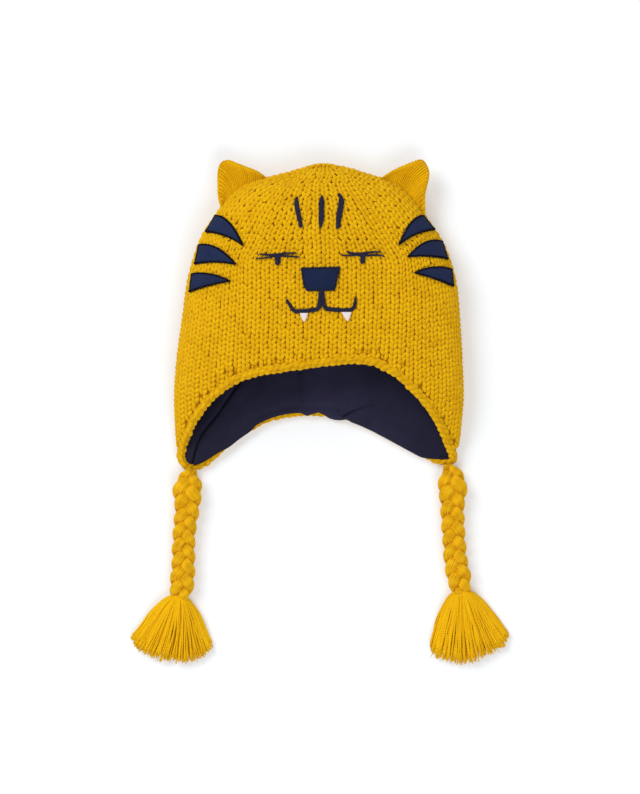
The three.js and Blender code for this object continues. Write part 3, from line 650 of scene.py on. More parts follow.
# %% One leg of a stitch
def spindle_template(rings, sides):
    """A ball with its poles at z = -1 and z = 1, with its map along it."""
    bm = bmesh.new()
    bmesh.ops.create_uvsphere(bm, u_segments=sides, v_segments=rings, radius=1)
    layer = bm.loops.layers.uv.verify()
    for face in bm.faces:
        middle = face.calc_center_median()
        base = math.atan2(middle.y, middle.x) / (2 * math.pi)
        for loop in face.loops:
            co = loop.vert.co
            turn = base if abs(co.z) > 0.999 else math.atan2(co.y, co.x) / (2 * math.pi)
            loop[layer].uv = (turn + round(base - turn), (co.z + 1) / 2)
    made = template_of(bm)
    bm.free()
    return made


LEG = spindle_template(7, 6)
PITCH_DOWN = 3.57
PANEL = 18
LEG_WIDE, LEG_HIGH, LEG_SINK = 0.245, 1.5, 1.4


def leg_in_cell(mirror, chance):
    """The leg's corners in its cell: across and down as shares, and out in millimetres."""
    ball = LEG[0]
    z = ball[:, 2]
    t = (z + 1) / 2
    full = np.sqrt(np.maximum(1 - z ** 2, 0)) ** 0.75
    foot, head = (0.445 + chance.normal(0, 0.012), 1.3), (0.005 + chance.normal(0, 0.012), -0.34)
    across = head[0] + (foot[0] - head[0]) * t + 0.065 * np.sin(math.pi * t)
    across += ball[:, 0] * full * LEG_WIDE * (1.12 - 0.24 * t)
    down = head[1] + (foot[1] - head[1]) * t - ball[:, 0] * full * 0.2
    out = 0.45 - 0.85 * (1 - t) ** 2 - 1.2 * t ** 3 + ball[:, 1] * full * LEG_HIGH * 0.85
    across = across if not mirror else 1 - across
    return np.column_stack([across, down, out])


print("leg of a stitch:", len(LEG[0]), "corners")

# %% [markdown]
# Each round of a side panel runs from the front corner over the fold to the back
# corner. Stitches are all one width along the surface, so points at even lengths
# along that line give the columns.

# %% Cells of the four panels
def panel_line(panel, down, count, inset=0.0):
    """Corners of count cells across a panel, at one height."""
    if panel in ("front", "back"):
        face = 1 if panel == "front" else -1
        shares = np.linspace(-1, 1, count + 1)
        return np.array([hat_point(1 if s >= 0 else -1, face, abs(s), down, inset) for s in shares])
    side = 1 if panel == "right" else -1
    steps = [1 + math.sin(math.pi / 2 * q / 14) for q in range(15)]
    line = [hat_point(side, 1, s, down, inset) for s in steps]
    line += [hat_point(side, -1, s, down, inset) for s in steps[-2::-1]]
    line = np.array(line)
    run = np.concatenate([[0], np.cumsum(np.linalg.norm(np.diff(line, axis=0), axis=1))])
    even = np.linspace(0, run[-1], count + 1)
    return np.stack([np.interp(even, run, line[:, i]) for i in range(3)], 1)


TURNED = {"front": -1, "back": 1, "right": -1, "left": 1}


def above_rim(point, face):
    rim = FRONT_RIM if face > 0 else BACK_RIM
    return point[1] - read(rim, "across", point[0], "up")


def knit_panel(panel, seed):
    chance = np.random.default_rng(seed)
    placed = []
    for row in range(1, 64):
        top, bottom = row * PITCH_DOWN, (row + 1) * PITCH_DOWN
        share = min(1.0, ((row + 0.5) * PITCH_DOWN / CROWN_LENGTH) ** SECTION_TAPER)
        count = max(2, 2 * round(PANEL / 2 * share))
        if row < 3 and panel in ("left", "right"):
            continue
        high, low = panel_line(panel, top, count), panel_line(panel, bottom, count)
        for i in range(count):
            a, b, c, d = high[i], high[i + 1], low[i], low[i + 1]
            middle = (a + b + c + d) / 4
            face = {"front": 1, "back": -1}.get(panel, 1 if i < count / 2 else -1)
            spare = above_rim(middle, face)
            if spare <= 0:
                continue
            normal = np.cross(b - a, c - a) * TURNED[panel]
            normal = normal / max(np.linalg.norm(normal), 1e-9)
            shift = chance.normal(0, 0.035, 2)
            grow = chance.normal(1, 0.04)
            sink = LEG_SINK + 0.7 * max(0, 1 - spare / 6) * (face > 0) - 1.3 * (1 - abs(normal[2])) ** 2
            for mirror in (False, True):
                cell = leg_in_cell(mirror, chance)
                hole = 1.5 * (face > 0 and 2 < spare < 6.5 and chance.random() < 0.3)
                u, v, w = (cell[:, 0:1] + shift[0]), (cell[:, 1:2] + shift[1]), cell[:, 2:3]
                spot = a + u * (b - a) + v * (c - a) + u * v * (d - c - b + a)
                placed.append(spot + (w * grow - sink - hole) * normal)
    placed = np.array(placed)
    placed[..., 2] = np.maximum(placed[..., 2], 0.05)
    made = joined("knit_" + panel, LEG, placed * MM, MUSTARD, seed)
    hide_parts("knit_shell")
    return made


for seed, panel in enumerate(("front", "right", "back", "left")):
    knit_panel(panel, seed + 31)


def gathered_crown(seed):
    """The last loops, drawn together at the crown point."""
    chance = np.random.default_rng(seed)
    top = np.array(hat_point(1, 1, 0, 0.02, 0))
    ball = LEG[0]
    full = np.sqrt(np.maximum(1 - ball[:, 2] ** 2, 0)) ** 0.75
    placed = []
    for count, away, reach in ((9, 2.6, 2.7), (16, 6.8, 2.9), (26, 10.4, 2.7)):
        for i in range(count):
            turn = 2 * math.pi * (i + chance.normal(0, 0.06)) / count
            out = np.array([math.cos(turn), 0, math.sin(turn)])
            if away > 10 and abs(out[0]) < 0.7:
                continue
            side = np.array([-math.sin(turn), 0, math.cos(turn)])
            far = away + ball[:, 2] * reach
            drop = -0.25 - 0.015 * far ** 2 - 0.5 * np.exp(-(far / 1.2) ** 2)
            place = top + out * far[:, None] + side * (ball[:, 0] * full * 1.35)[:, None]
            place[:, 1] += drop + ball[:, 1] * full * 1.2
            placed.append(place)
    made = joined("knit_gather", LEG, np.array(placed) * MM, MUSTARD, seed)
    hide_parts("knit_shell")
    return made


gathered_crown(36)

# %% [markdown]
# Behind the stitches lies an inner sheet, deep in their shade, and its yarn is a
# darker mustard: painted shade for the gaps between them. It is a grid bent round
# the hat, with one row from the crown to the edging for each column. The same
# helper makes the lining, further in.

# %% A sheet bent round the hat
QUARTERS = ((1, 1, False), (1, -1, True), (-1, -1, False), (-1, 1, True))


def round_the_hat(turn):
    """Side, face and share for a turn round the hat from 0 to 4."""
    side, face, back = QUARTERS[int(turn) % 4]
    step = turn - int(turn)
    return side, face, 2 * math.sin(math.pi / 2 * (1 - step if back else step))


def rim_down(side, face, share):
    """How far down a column meets the middle line of the edging."""
    if share >= 1.9995:
        return (rim_down(side, 1, 1.999) + rim_down(side, -1, 1.999)) / 2
    rim = FRONT_RIM if face > 0 else BACK_RIM
    low, high = CROWN_LENGTH, 280.0
    for _ in range(22):
        middle = (low + high) / 2
        x, y, _z = hat_point(side, face, share, middle, 0)
        low, high = (middle, high) if y > read(rim, "across", x, "up") else (low, middle)
    return low


COLUMNS = 160
COLUMN_RIMS = [rim_down(*round_the_hat(4 * i / COLUMNS)) for i in range(COLUMNS)]


def bent_sheet(name, rows, place, finish):
    """A grid whose corner (column, row) goes to place(column, share of the way down)."""
    bm = bmesh.new()
    bmesh.ops.create_grid(bm, x_segments=COLUMNS, y_segments=rows, size=0.5, calc_uvs=True)
    layer = bm.loops.layers.uv.verify()
    for face in bm.faces:
        for loop in face.loops:
            loop[layer].uv = (loop.vert.co.x + 0.5, loop.vert.co.y + 0.5)
    for vert in bm.verts:
        column, down = round((vert.co.x + 0.5) * COLUMNS) % COLUMNS, vert.co.y + 0.5
        vert.co = Vector(place(column, down)) * MM
    bmesh.ops.remove_doubles(bm, verts=bm.verts, dist=2e-6)
    bmesh.ops.recalc_face_normals(bm, faces=bm.faces)
    mesh = bpy.data.meshes.new(name)
    bm.to_mesh(mesh)
    bm.free()
    for polygon in mesh.polygons:
        polygon.use_smooth = True
    made = bpy.data.objects.new(name, mesh)
    SCENE.collection.objects.link(made)
    mesh.materials.append(finish.data)
    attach(made, "root")
    print(name, len(mesh.polygons), "faces")
    return made


# Painted shade: the inner sheet's yarn is darker than the shell's, standing in for the shade deep in the gaps between
# the stitches.
PAINTED_SHADE_MUSTARD = yarn_finish("painted_shade_mustard", srgb(176, 122, 3), srgb(150, 98, 2), srgb(192, 138, 5), 1, 3)


def inner_place(column, down):
    side, face, share = round_the_hat(4 * column / COLUMNS)
    x, y, z = hat_point(side, face, share, max(down, 0.002) * COLUMN_RIMS[column], 2.3)
    if down < 1e-6:
        x, y, z = hat_point(1, 1, 0, 0.1, 1.2)
    return x, y, max(z, 1.2)


backing = bent_sheet("knit_backing", 56, inner_place, PAINTED_SHADE_MUSTARD)
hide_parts("knit_shell")

# %% [markdown]
# ## The lining
#
# The lining is brushed navy fleece, nearly black. It lies slack inside, so it has a
# sharp crease where the left flap folds, a short pucker at the back, and a soft
# unevenness all over. At the back its edge runs out over the edging, which shows
# only as thin mustard slivers.

# %% Fleece finish
fleece = Finish("navy_fleece", Roughness=0.95, Sheen_Weight=0.02, Sheen_Roughness=0.6, Specular_IOR_Level=0.08)
nap = fleece.noise(1500.0, 3.0, 0.7)
cloud = fleece.noise(45.0, 2.0, 0.5)
fleece_place = fleece.node("ShaderNodeSeparateXYZ", {}, {0: fleece.place()})
# Painted light: the fleece is painted lighter towards the middle across the hat and darker towards the sides, making
# up for the shade that the front panel casts into the opening.
painted_light_middle = fleece.node("ShaderNodeMath", {"operation": "ABSOLUTE"}, {0: fleece_place}) * -10.5 + 1
fleece_tone = nap * 0.4 + cloud * 0.35 + painted_light_middle * 0.3
fleece.feed(
    Base_Color=fleece.ramp(fleece_tone, (0.25, srgb(27, 26, 43)), (0.9, srgb(52, 50, 75)), (0.5, srgb(36, 35, 55))),
    Roughness=nap * 0.1 + 0.88,
    Normal=fleece.bump(nap, 0.6, 0.0005),
)
print("fleece finish:", len(fleece.tree.nodes), "nodes")

# %% The edging's middle line, for everything that touches it
STATIONS = 208


def rim_line():
    line = []
    for i in range(STATIONS):
        side, face, share = round_the_hat(4 * i / STATIONS)
        x, y, z = hat_point(side, face, share, rim_down(side, face, share), 2.0)
        line.append((x, y, max(z, 3.2)))
    line = np.array(line)
    for _ in range(32):
        line = 0.5 * line + 0.25 * (np.roll(line, 1, 0) + np.roll(line, -1, 0))
    return line


RIM = rim_line()
print("edging line:", round(float(np.linalg.norm(np.roll(RIM, -1, 0) - RIM, axis=1).sum())), "mm round")

# %% Creases in the lining
CREASE = [(-44, -30), (-60, -52), (-72.5, -70.4), (-85.5, -87.7), (-91.5, -107)]
PUCKER = [(17, -73.2), (23, -70), (30, -67), (39, -63.4)]


def beside(point, line):
    """Distance from a plan point to a line of plan points."""
    best = 1e9
    for a, b in zip(line, line[1:]):
        a, b = Vector(a), Vector(b)
        t = min(max((point - a).dot(b - a) / (b - a).length_squared, 0), 1)
        best = min(best, (point - (a + (b - a) * t)).length)
    return best


BACK_COVER = table(
    "across out",
    (-110, -4.2), (-97, -3.6), (-90, -1.6), (-84, -0.6), (-77, 0), (-71, 1.4), (-64, 3.6), (-50, 3.8),
    (-44, 1.6), (-20, 0.8), (-10, 1.4), (-8, 3.6),
    (-5, 3.8), (-3.6, 0.8), (3, 0.8), (4.8, 3.4), (7, 4.3), (12, 5), (17, 4.4), (17.8, 2.8), (20.4, 2.8), (21.4, 3.9), (72, 3.9), (78, 2.2), (85, -0.6), (90, -1.8), (97, -3.6), (110, -4.2),
)


def lining_place(column, down):
    side, face, share = round_the_hat(4 * column / COLUMNS)
    end = COLUMN_RIMS[column]
    reach = min(down / 0.9, 1.0)
    x, y, z = hat_point(side, face, share, max(reach, 0.002) * (end - 4.5), 6.1)
    spot = Vector((x, y))
    soft = noise.noise(Vector((x, y, z)) * 0.045) * 1.6 + noise.noise(Vector((x, y, z)) * 0.13) * 0.5
    near, far = beside(spot, CREASE), beside(spot, PUCKER)
    if face < 0 and z < 24:
        hollow = -1.3 * math.exp(-(near / 2.5) ** 2) - 0.8 * math.exp(-(far / 2.0) ** 2)
        z = max(z + 1.4 + max(soft, -1.0) + hollow, 4.6)
        z += max(8.2 - z, 0) * max(0, 1 - (1 - reach) * (end - 4.5) / 16) ** 2
    elif face > 0:
        z -= 0.6 + max(soft, 0)
    if down < 1e-6:
        x, y, z = hat_point(1, 1, 0, 0.1, 6.1)
    if down > 0.9 and face < 0:
        over = (down - 0.9) / 0.1
        turn = 4 * column / COLUMNS * STATIONS / 4
        i = int(turn) % STATIONS
        rim = Vector(RIM[i]) * (1 - turn % 1) + Vector(RIM[(i + 1) % STATIONS]) * (turn % 1)
        ahead = Vector(RIM[(i + 1) % STATIONS]) - Vector(RIM[i - 1])
        out = Vector((-ahead.y, ahead.x)).normalized()
        out = -out if out.dot(Vector((0.0, -1.0))) < 0 else out
        cover = read(BACK_COVER, "across", x, "out")
        goal = Vector((rim.x, rim.y)) + out * cover
        x, y = x + (goal.x - x) * over, y + (goal.y - y) * over
        past = (Vector((x, y)) - Vector((rim.x, rim.y))).dot(out)
        arch = rim.z + math.sqrt(max(4.5 ** 2 - past * past, 0.6))
        z = z + (arch - z) * math.sin(math.pi / 2 * min(over * 2, 1))
    elif down > 0.9:
        over = (down - 0.9) / 0.1
        end_point = hat_point(side, face, share, end - 2.0, 5.2)
        x, y, z = (a + (b - a) * over for a, b in zip((x, y, z), end_point))
    return x, y, z


lining = bent_sheet("fleece_lining", 90, lining_place, fleece)
thick = lining.modifiers.new("thickness", "SOLIDIFY")
thick.thickness = 1.2 * MM
thick.offset = 1.0
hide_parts("lining")

# %% [markdown]
# ## The edging
#
# The edge is worked over in bulky yarn: fat slanted lobes, side by side, wrapped
# over the rim. Each lobe is a spindle bent round the edging's middle line, and no
# two lie quite alike.

# %% Wrap the lobes round the rim
LOBE = spindle_template(8, 7)


def edging(seed=5, pitch=4.7, strands=5, around=1.95, fat=1.75):
    chance = np.random.default_rng(seed)
    line = np.vstack([RIM, RIM[:1]])
    run = np.concatenate([[0], np.cumsum(np.linalg.norm(np.diff(line, axis=0), axis=1))])
    count = int(run[-1] / pitch)
    ball = LOBE[0]
    z = ball[:, 2]
    full = np.sqrt(np.maximum(1 - z ** 2, 0)) ** 0.6
    placed = []
    for i in range(count):
        for strand in range(strands):
            start = (i + 0.4 * strand + chance.normal(0, 0.07)) / count * run[-1]
            reach = chance.uniform(3.5, 4.3)
            turn = math.radians(360 / strands * strand + 20 + chance.normal(0, 7)) + z * math.radians(34)
            at = (start + z * reach) % run[-1]
            spot = np.stack([np.interp(at, run, line[:, k]) for k in range(3)], 1)
            later = np.stack([np.interp((at + 1.5) % run[-1], run, line[:, k]) for k in range(3)], 1)
            ahead = later - spot
            ahead /= np.linalg.norm(ahead, axis=1, keepdims=True)
            level = np.cross(ahead, [0, 0, 1.0])
            level /= np.linalg.norm(level, axis=1, keepdims=True)
            rise = np.cross(level, ahead)
            grow = fat * chance.uniform(0.86, 1.18)
            out = around * chance.uniform(0.85, 1.15) - 0.9 * z ** 2 + ball[:, 0] * full * grow
            radial = level * np.cos(turn)[:, None] + rise * np.sin(turn)[:, None]
            beside = np.cross(radial, ahead) + ahead * -0.3
            beside /= np.linalg.norm(beside, axis=1, keepdims=True)
            placed.append(spot + radial * out[:, None] + beside * (ball[:, 1] * full * grow)[:, None])
    placed = np.array(placed)
    placed[..., 2] = np.maximum(placed[..., 2], 0.1)
    made = joined("edging", LOBE, placed * MM, EDGED, seed)
    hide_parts("rim_trim")
    return made


edging()

# %% [markdown]
# Three things lie on the lining: the fleece folds over itself along the crease at
# the left flap, it puckers beside the middle of the back, and a flat seam runs up
# the middle. Each is a strip of fleece laid on the sheet below it.

# %% Folds laid on the lining
inner = bmesh.new()
inner.from_mesh(lining.data)
INNER = BVHTree.FromBMesh(inner)
inner.free()


def on_lining(x, y, lift):
    """The point this far above the lining's back, in millimetres."""
    hit = INNER.ray_cast(Vector((x, y, 26)) * MM, Vector((0, 0, -1)))[0]
    if hit is None:
        hit = INNER.find_nearest(Vector((x, y, 8)) * MM)[0]
    return Vector((hit.x / MM, hit.y / MM, hit.z / MM + lift))


def laid_strip(name, line, section, grow, rows=60):
    """A closed strip along a plan line; section lists (sideways, height) across it."""
    plan, _ = smooth_path(line, rows + 1)
    ahead = np.gradient(plan, axis=0)
    ahead /= np.linalg.norm(ahead, axis=1, keepdims=True)
    across = len(section) - 1
    bm = bmesh.new()
    skins = []
    for top in (0, 1):
        grid = []
        for i in range(rows + 1):
            out = np.array([ahead[i][1], -ahead[i][0]])
            points = []
            for sideways, height in section:
                spot = plan[i] + out * sideways
                lift = height * grow(i / rows) if top and height > 0 else -0.8
                points.append(bm.verts.new(on_lining(float(spot[0]), float(spot[1]), lift) * MM))
            grid.append(points)
        skins.append(grid)
        for p, q in zip(grid, grid[1:]):
            for k in range(across):
                bm.faces.new([p[k], q[k], q[k + 1], p[k + 1]])
    bmesh.ops.bridge_loops(bm, edges=[edge for edge in bm.edges if edge.is_boundary])
    bmesh.ops.recalc_face_normals(bm, faces=bm.faces)
    mesh = bpy.data.meshes.new(name)
    bm.to_mesh(mesh)
    bm.free()
    for polygon in mesh.polygons:
        polygon.use_smooth = True
    made = bpy.data.objects.new(name, mesh)
    SCENE.collection.objects.link(made)
    mesh.materials.append(fleece.data)
    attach(made, "root")
    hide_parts("lining")
    return made


FOLD = [(-12, 0), (-9, 0.3), (-6, 0.8), (-3.5, 1.4), (-1.8, 1.8), (-1, 1.7), (-0.75, 1.2), (-0.6, 0), (0.6, 0),
        (0.7, 1.8), (0.9, 2.5), (1.5, 2.7), (3, 2.5), (5, 2), (7.5, 1.2), (10, 0.3), (11, 0)]
SEAM = [(-2.2, 0), (-1.4, 0.5), (-0.6, 0.7), (-0.3, 0.1), (0.3, 0.1), (0.6, 0.7), (1.4, 0.5), (2.2, 0)]
fold = laid_strip("lining_fold", CREASE, FOLD, lambda t: 1)
pucker = laid_strip("lining_pucker", PUCKER, FOLD, lambda t: 0.9 * (1 - t) ** 0.8)
seam = laid_strip("lining_seam", [(-12.6, -64), (-12.9, -56), (-13.1, -42)], SEAM, lambda t: 1)
print("folds:", fold.name, pucker.name, seam.name)

# %% [markdown]
# ## The ears
#
# Each ear is a flat pocket of finer knit, sewn along a slanting seam. Its fine ribs
# run from the seam and close up towards the round tip, and its free edge is rolled.
# Ribs and roll are tubes laid on a thin pocket of the same shape.

# %% Points of an ear
EARS = {
    "left": (-1, [(-37.6, 98.6), (-44.3, 103.4), (-51.5, 106.4), (-60, 109.6), (-66.2, 111.9),
                  (-71, 109.9), (-72.7, 103.8), (-72.5, 94), (-71.8, 85), (-69.2, 76.2)]),
    "right": (1, [(44.8, 98.4), (52.3, 103.1), (60, 106.9), (67.9, 110.1), (74.6, 112.2),
                  (78.3, 108.4), (79.7, 102.3), (77.8, 94.2), (76, 86.4), (75.9, 71.6)]),
}


def ear_line(tie, spreads):
    """Seam points and edge points of an ear for each share of the way along it."""
    side, edge = EARS[tie]
    seams, edges = [], []
    smooth = [Vector(p) for p in edge]
    ends = [smooth[0] * 2 - smooth[1], *smooth, smooth[-1] * 2 - smooth[-2]]
    for spread in spreads:
        along = 45 + (36 if side < 0 else 38.5) * spread
        up, half = read(FOLD_LINE, "along", along, "up"), read(FOLD_LINE, "along", along, "half")
        foot = Vector((read(OUTLINE, "up", up, "centre") + side * half, up))
        seams.append(foot + Vector((foot.x, up - CROWN_CENTRE_UP)).normalized() * -1.5)
        i = min(int(spread * 9), 8)
        t = spread * 9 - i
        a, b, c, d = ends[i:i + 4]
        edges.append(((2 * b) + (c - a) * t + (2 * a - 5 * b + 4 * c - d) * t ** 2
                      + (3 * b - a - 3 * c + d) * t ** 3) / 2)
    return np.array(seams), np.array(edges)


def ear_points(tie, spreads, rises, half, plump=1.0):
    """Points on one skin of the ear, spreads by rises by 3; the ribs bow a little."""
    seams, edges = ear_line(tie, spreads)
    spreads, rises = np.array(spreads)[:, None], np.array(rises)[None, :]
    flat = seams[:, None] + (edges - seams)[:, None] * rises[..., None]
    bow = np.array(ear_line(tie, [0])[0][0] - ear_line(tie, [1])[0][0]) * 0.09
    flat += bow * (np.sin(np.pi * rises) * np.sin(np.pi * spreads))[..., None]
    across = np.sin(np.pi * spreads)
    hollow = 3 * across * np.sin(np.pi * np.minimum(rises + 0.25, 1))
    thick = 2.4 + 3.6 * (1 - rises) * np.sqrt(np.maximum(across, 0))
    return np.dstack([flat, 17 - hollow + half * thick * plump])


for tie in EARS:
    seams, edges = ear_line(tie, [0, 0.5, 1])
    print("ear", tie, "seam", round(float(np.linalg.norm(seams[0] - seams[2])), 1), "mm wide")

# %% Make the ears
RIB = tube_template(17, 6)
RIBS = 28


def ear(tie, seed):
    chance = np.random.default_rng(seed)
    steps = 0.01 + (np.arange(RIBS) + 0.5) / RIBS * 0.97
    bounds = 0.01 + np.arange(RIBS + 1) / RIBS * 0.97
    rises = np.linspace(0, 0.985, 17)
    paths, radii = [], []
    for half in (0.5, -0.5):
        middle = ear_points(tie, steps, rises, half * 0.8)
        corner = ear_points(tie, bounds, rises, half * 0.8)
        room = np.linalg.norm(np.diff(corner, axis=0), axis=2) / 2
        middle[..., 2] += half * room * 0.4
        middle[..., :2] += chance.normal(0, 0.05, middle.shape[:2])[..., None]
        paths.append(middle)
        radii.append(np.clip(room, 0.2, 1.1) * 0.97)
    paths, radii = np.concatenate(paths), np.concatenate(radii)
    ribs = joined("ear_ribs_" + tie, RIB, along_paths(RIB, paths, radii, 1.15) * MM, FINE, seed)
    edge = ear_points(tie, np.linspace(0, 1, 97), [0.955], 0)[:, 0]
    thick = 0.85 + 0.5 * np.clip((np.linspace(0, 1, 97) - 0.55) / 0.2, 0, 1)
    turns = [thick, thick]
    rolls = np.stack([edge + [0, 0, 0.4], edge + [0, 0, -0.7]])
    roll = joined("ear_edge_" + tie, YARN_TUBE, along_paths(YARN_TUBE, rolls, np.array(turns)) * MM, FINE, seed)
    bm = bmesh.new()
    for half in (0.42, -0.42):
        grid = ear_points(tie, np.linspace(0, 1, 25), np.linspace(0, 0.95, 13), half)
        rows = [[bm.verts.new(Vector(p) * MM) for p in line] for line in grid]
        for a, b in zip(rows, rows[1:]):
            for i in range(12):
                bm.faces.new([a[i], a[i + 1], b[i + 1], b[i]])
    rims = [edge for edge in bm.edges if edge.is_boundary]
    bmesh.ops.bridge_loops(bm, edges=rims)
    bmesh.ops.recalc_face_normals(bm, faces=bm.faces)
    mesh = bpy.data.meshes.new("ear_pocket_" + tie)
    bm.to_mesh(mesh)
    bm.free()
    pocket = bpy.data.objects.new("ear_pocket_" + tie, mesh)
    SCENE.collection.objects.link(pocket)
    for polygon in mesh.polygons:
        polygon.use_smooth = True
    mesh.materials.append(FINE.data)
    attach(pocket, "root")
    for piece in (ribs, roll, pocket):
        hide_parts("ear_" + tie)


FINE = yarn_finish("fine_mustard", srgb(232, 176, 6), srgb(208, 152, 4), srgb(240, 187, 10), 1, 14)
for seed, tie in enumerate(EARS):
    ear(tie, seed + 61)

# %% [markdown]
# ## Felt and thread
#
# The stripes and the nose are navy felt, each sewn down round its edge with a
# darker thread, and the fangs are white felt; all are about a millimetre thick. The
# mouth, the eyes and the brow marks are worked in thread: close stitches laid
# across the line that they draw.

# %% Felt and thread finishes
def felt_finish(name, dark, base, light):
    made = Finish(name, Roughness=0.95, Sheen_Weight=0.02, Sheen_Roughness=0.6, Specular_IOR_Level=0.08)
    hair = made.noise(1900.0, 4.0, 0.7)
    cloud = made.noise(120.0, 2.0, 0.5)
    tone = hair * 0.6 + cloud * 0.4
    made.feed(Base_Color=made.ramp(tone, (0.3, dark), (0.75, light), (0.5, base)), Normal=made.bump(hair, 0.5, 0.0004))
    return made


NAVY_FELT = felt_finish("navy_felt", srgb(25, 34, 63), srgb(31, 41, 73), srgb(38, 50, 84))
NOSE_FELT = felt_finish("nose_felt", srgb(20, 29, 56), srgb(25, 35, 65), srgb(31, 42, 75))
WHITE_FELT = felt_finish("white_felt", srgb(214, 203, 203), srgb(229, 216, 216), srgb(239, 228, 227))
NAVY_THREAD = yarn_finish("navy_thread", srgb(41, 41, 63), srgb(31, 31, 49), srgb(52, 51, 74), 2, 4, 0.0002)
DARK_THREAD = yarn_finish("dark_thread", srgb(12, 14, 27), srgb(8, 9, 18), srgb(20, 23, 40), 2, 4, 0.0002)
print("felt and thread finishes:", 4)

# %% The front of the knit under the face
def front_height(across, up):
    x = abs(across - read(OUTLINE, "up", up, "centre"))
    reach = min(place_in_plan(x, up, 0)[0], 0.995)
    return height_at(up, reach, 1, 0)


FACE_DROP = 0.6


def on_front(across, up, lift):
    """The point this far above the knit."""
    up -= FACE_DROP
    here = front_height(across, up)
    slope_x = (front_height(across + 0.5, up) - front_height(across - 0.5, up))
    slope_y = (front_height(across, up + 0.5) - front_height(across, up - 0.5))
    out = Vector((-slope_x, -slope_y, 1)).normalized()
    return Vector((across, up, here)) + out * lift


print("height at the nose:", round(front_height(0, 28), 1), "mm")

# %% Felt patches
SEW = tube_template(7, 5)


def patch(name, edge_a, edge_b, finish, columns=28, rows=14, thick=1.0):
    """Felt between two edges, each a function of the share of the way along them."""
    bm = bmesh.new()
    skins = []
    for lift in (0.35, 0.35 + thick):
        rows_made = []
        for i in range(columns + 1):
            t = i / columns
            a, b = edge_a(t), edge_b(t)
            line = []
            for k in range(rows + 1):
                spot = a + (b - a) * (k / rows)
                edge = min(k, rows - k) / rows * (b - a).length
                edge = min(edge, t * (edge_a(1) - edge_a(0)).length, (1 - t) * (edge_a(1) - edge_a(0)).length)
                drop = 0.45 * math.exp(-(edge / 0.7)) if lift > 0.5 else 0
                line.append(bm.verts.new(on_front(spot.x, spot.y, lift - drop) * MM))
            rows_made.append(line)
        skins.append(rows_made)
        for p, q in zip(rows_made, rows_made[1:]):
            for k in range(rows):
                bm.faces.new([p[k], q[k], q[k + 1], p[k + 1]])
    bmesh.ops.bridge_loops(bm, edges=[edge for edge in bm.edges if edge.is_boundary])
    bmesh.ops.remove_doubles(bm, verts=bm.verts, dist=1e-5)
    bmesh.ops.recalc_face_normals(bm, faces=bm.faces)
    mesh = bpy.data.meshes.new(name)
    bm.to_mesh(mesh)
    bm.free()
    for polygon in mesh.polygons:
        polygon.use_smooth = True
    made = bpy.data.objects.new(name, mesh)
    SCENE.collection.objects.link(made)
    mesh.materials.append(finish.data)
    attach(made, "root")
    return made


def sewn_edge(name, outline, finish, seed, step=0.7, inside=0.75, past=0.4, fat=0.27):
    """Stitches over the edge of a patch; outline is its closed edge, as plan points."""
    chance = np.random.default_rng(seed)
    line = np.array([p[:] for p in outline] + [outline[0][:]])
    centre = line[:-1].mean(0)
    run = np.concatenate([[0], np.cumsum(np.linalg.norm(np.diff(line, axis=0), axis=1))])
    area = 0.5 * np.sum(line[:-1, 0] * line[1:, 1] - line[1:, 0] * line[:-1, 1])
    count = int(run[-1] / step)
    paths = []
    for i in range(count):
        at = (i + chance.normal(0, 0.12)) / count * run[-1] % run[-1]
        spot = np.array([np.interp(at, run, line[:, k]) for k in (0, 1)])
        later = np.array([np.interp((at + 0.3) % run[-1], run, line[:, k]) for k in (0, 1)])
        ahead = (later - spot) / max(np.linalg.norm(later - spot), 1e-9)
        out = np.array([ahead[1], -ahead[0]]) * math.copysign(1, area)
        slant = ahead * chance.normal(0, 0.25)
        deep, far = inside * chance.uniform(0.8, 1.15), past * chance.uniform(0.7, 1.4)
        path = []
        for k in range(7):
            t = k / 6
            place = spot + out * (far - (far + deep) * t) + slant * (t - 0.5)
            lift = 0.1 + 1.4 * math.sin(math.pi * min(t * 0.62, 1)) ** 0.6 if t > 0 else -0.2
            if t > 0.9:
                lift = 1.1
            path.append(on_front(float(place[0]), float(place[1]), lift))
        paths.append([p[:] for p in path])
    paths = np.array(paths)
    radii = np.full(paths.shape[:2], fat)
    return joined(name, SEW, along_paths(SEW, paths, radii) * MM, finish, seed)


STRIPES = {
    "left_1": ((-54, 50.2), (-74.1, 72.2), (-81, 60.4), 5.6, 2.2),
    "left_2": ((-59.2, 36.8), (-85.8, 51.2), (-88.8, 37.4), 4.5, 1.4),
    "left_3": ((-63.3, 24.8), (-91, 30.3), (-92.6, 17.4), 2.4, 0.8),
    "right_1": ((57.2, 50.6), (75, 72), (83, 61.9), 5.4, 2.4),
    "right_2": ((63.6, 42.1), (88.4, 53.6), (92.4, 41), 4.6, 1.2),
    "right_3": ((68.6, 30.7), (95.3, 33.6), (96.6, 21.4), 2.8, 0.6),
}


def side_of_stripe(tip, corner, swell):
    tip, corner = Vector(tip), Vector(corner)
    return lambda t: tip + (corner - tip) * t + Vector((0, swell * 4 * t * (1 - t)))


def dress(pieces, node):
    for piece in pieces:
        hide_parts(node)


for seed, (tie, (tip, top, low, swell_top, swell_low)) in enumerate(STRIPES.items()):
    upper, lower = side_of_stripe(tip, top, swell_top), side_of_stripe(tip, low, swell_low)
    felt = patch("felt_stripe_" + tie, upper, lower, NAVY_FELT)
    outline = [upper(i / 20) for i in range(21)] + [upper(1).lerp(lower(1), i / 6) for i in range(1, 6)]
    outline += [lower(1 - i / 20) for i in range(20)]
    sewn = sewn_edge("stripe_edge_" + tie, outline, DARK_THREAD, seed + 81)
    dress([felt, sewn], "stripe_" + tie)

# %% The nose and the fangs
NOSE = [((-12.5, 33.9), (15.1, 34.7)), ((-10.5, 22), (12.2, 22.4)), ((-8.5, 17.9), (11.2, 18.2))]


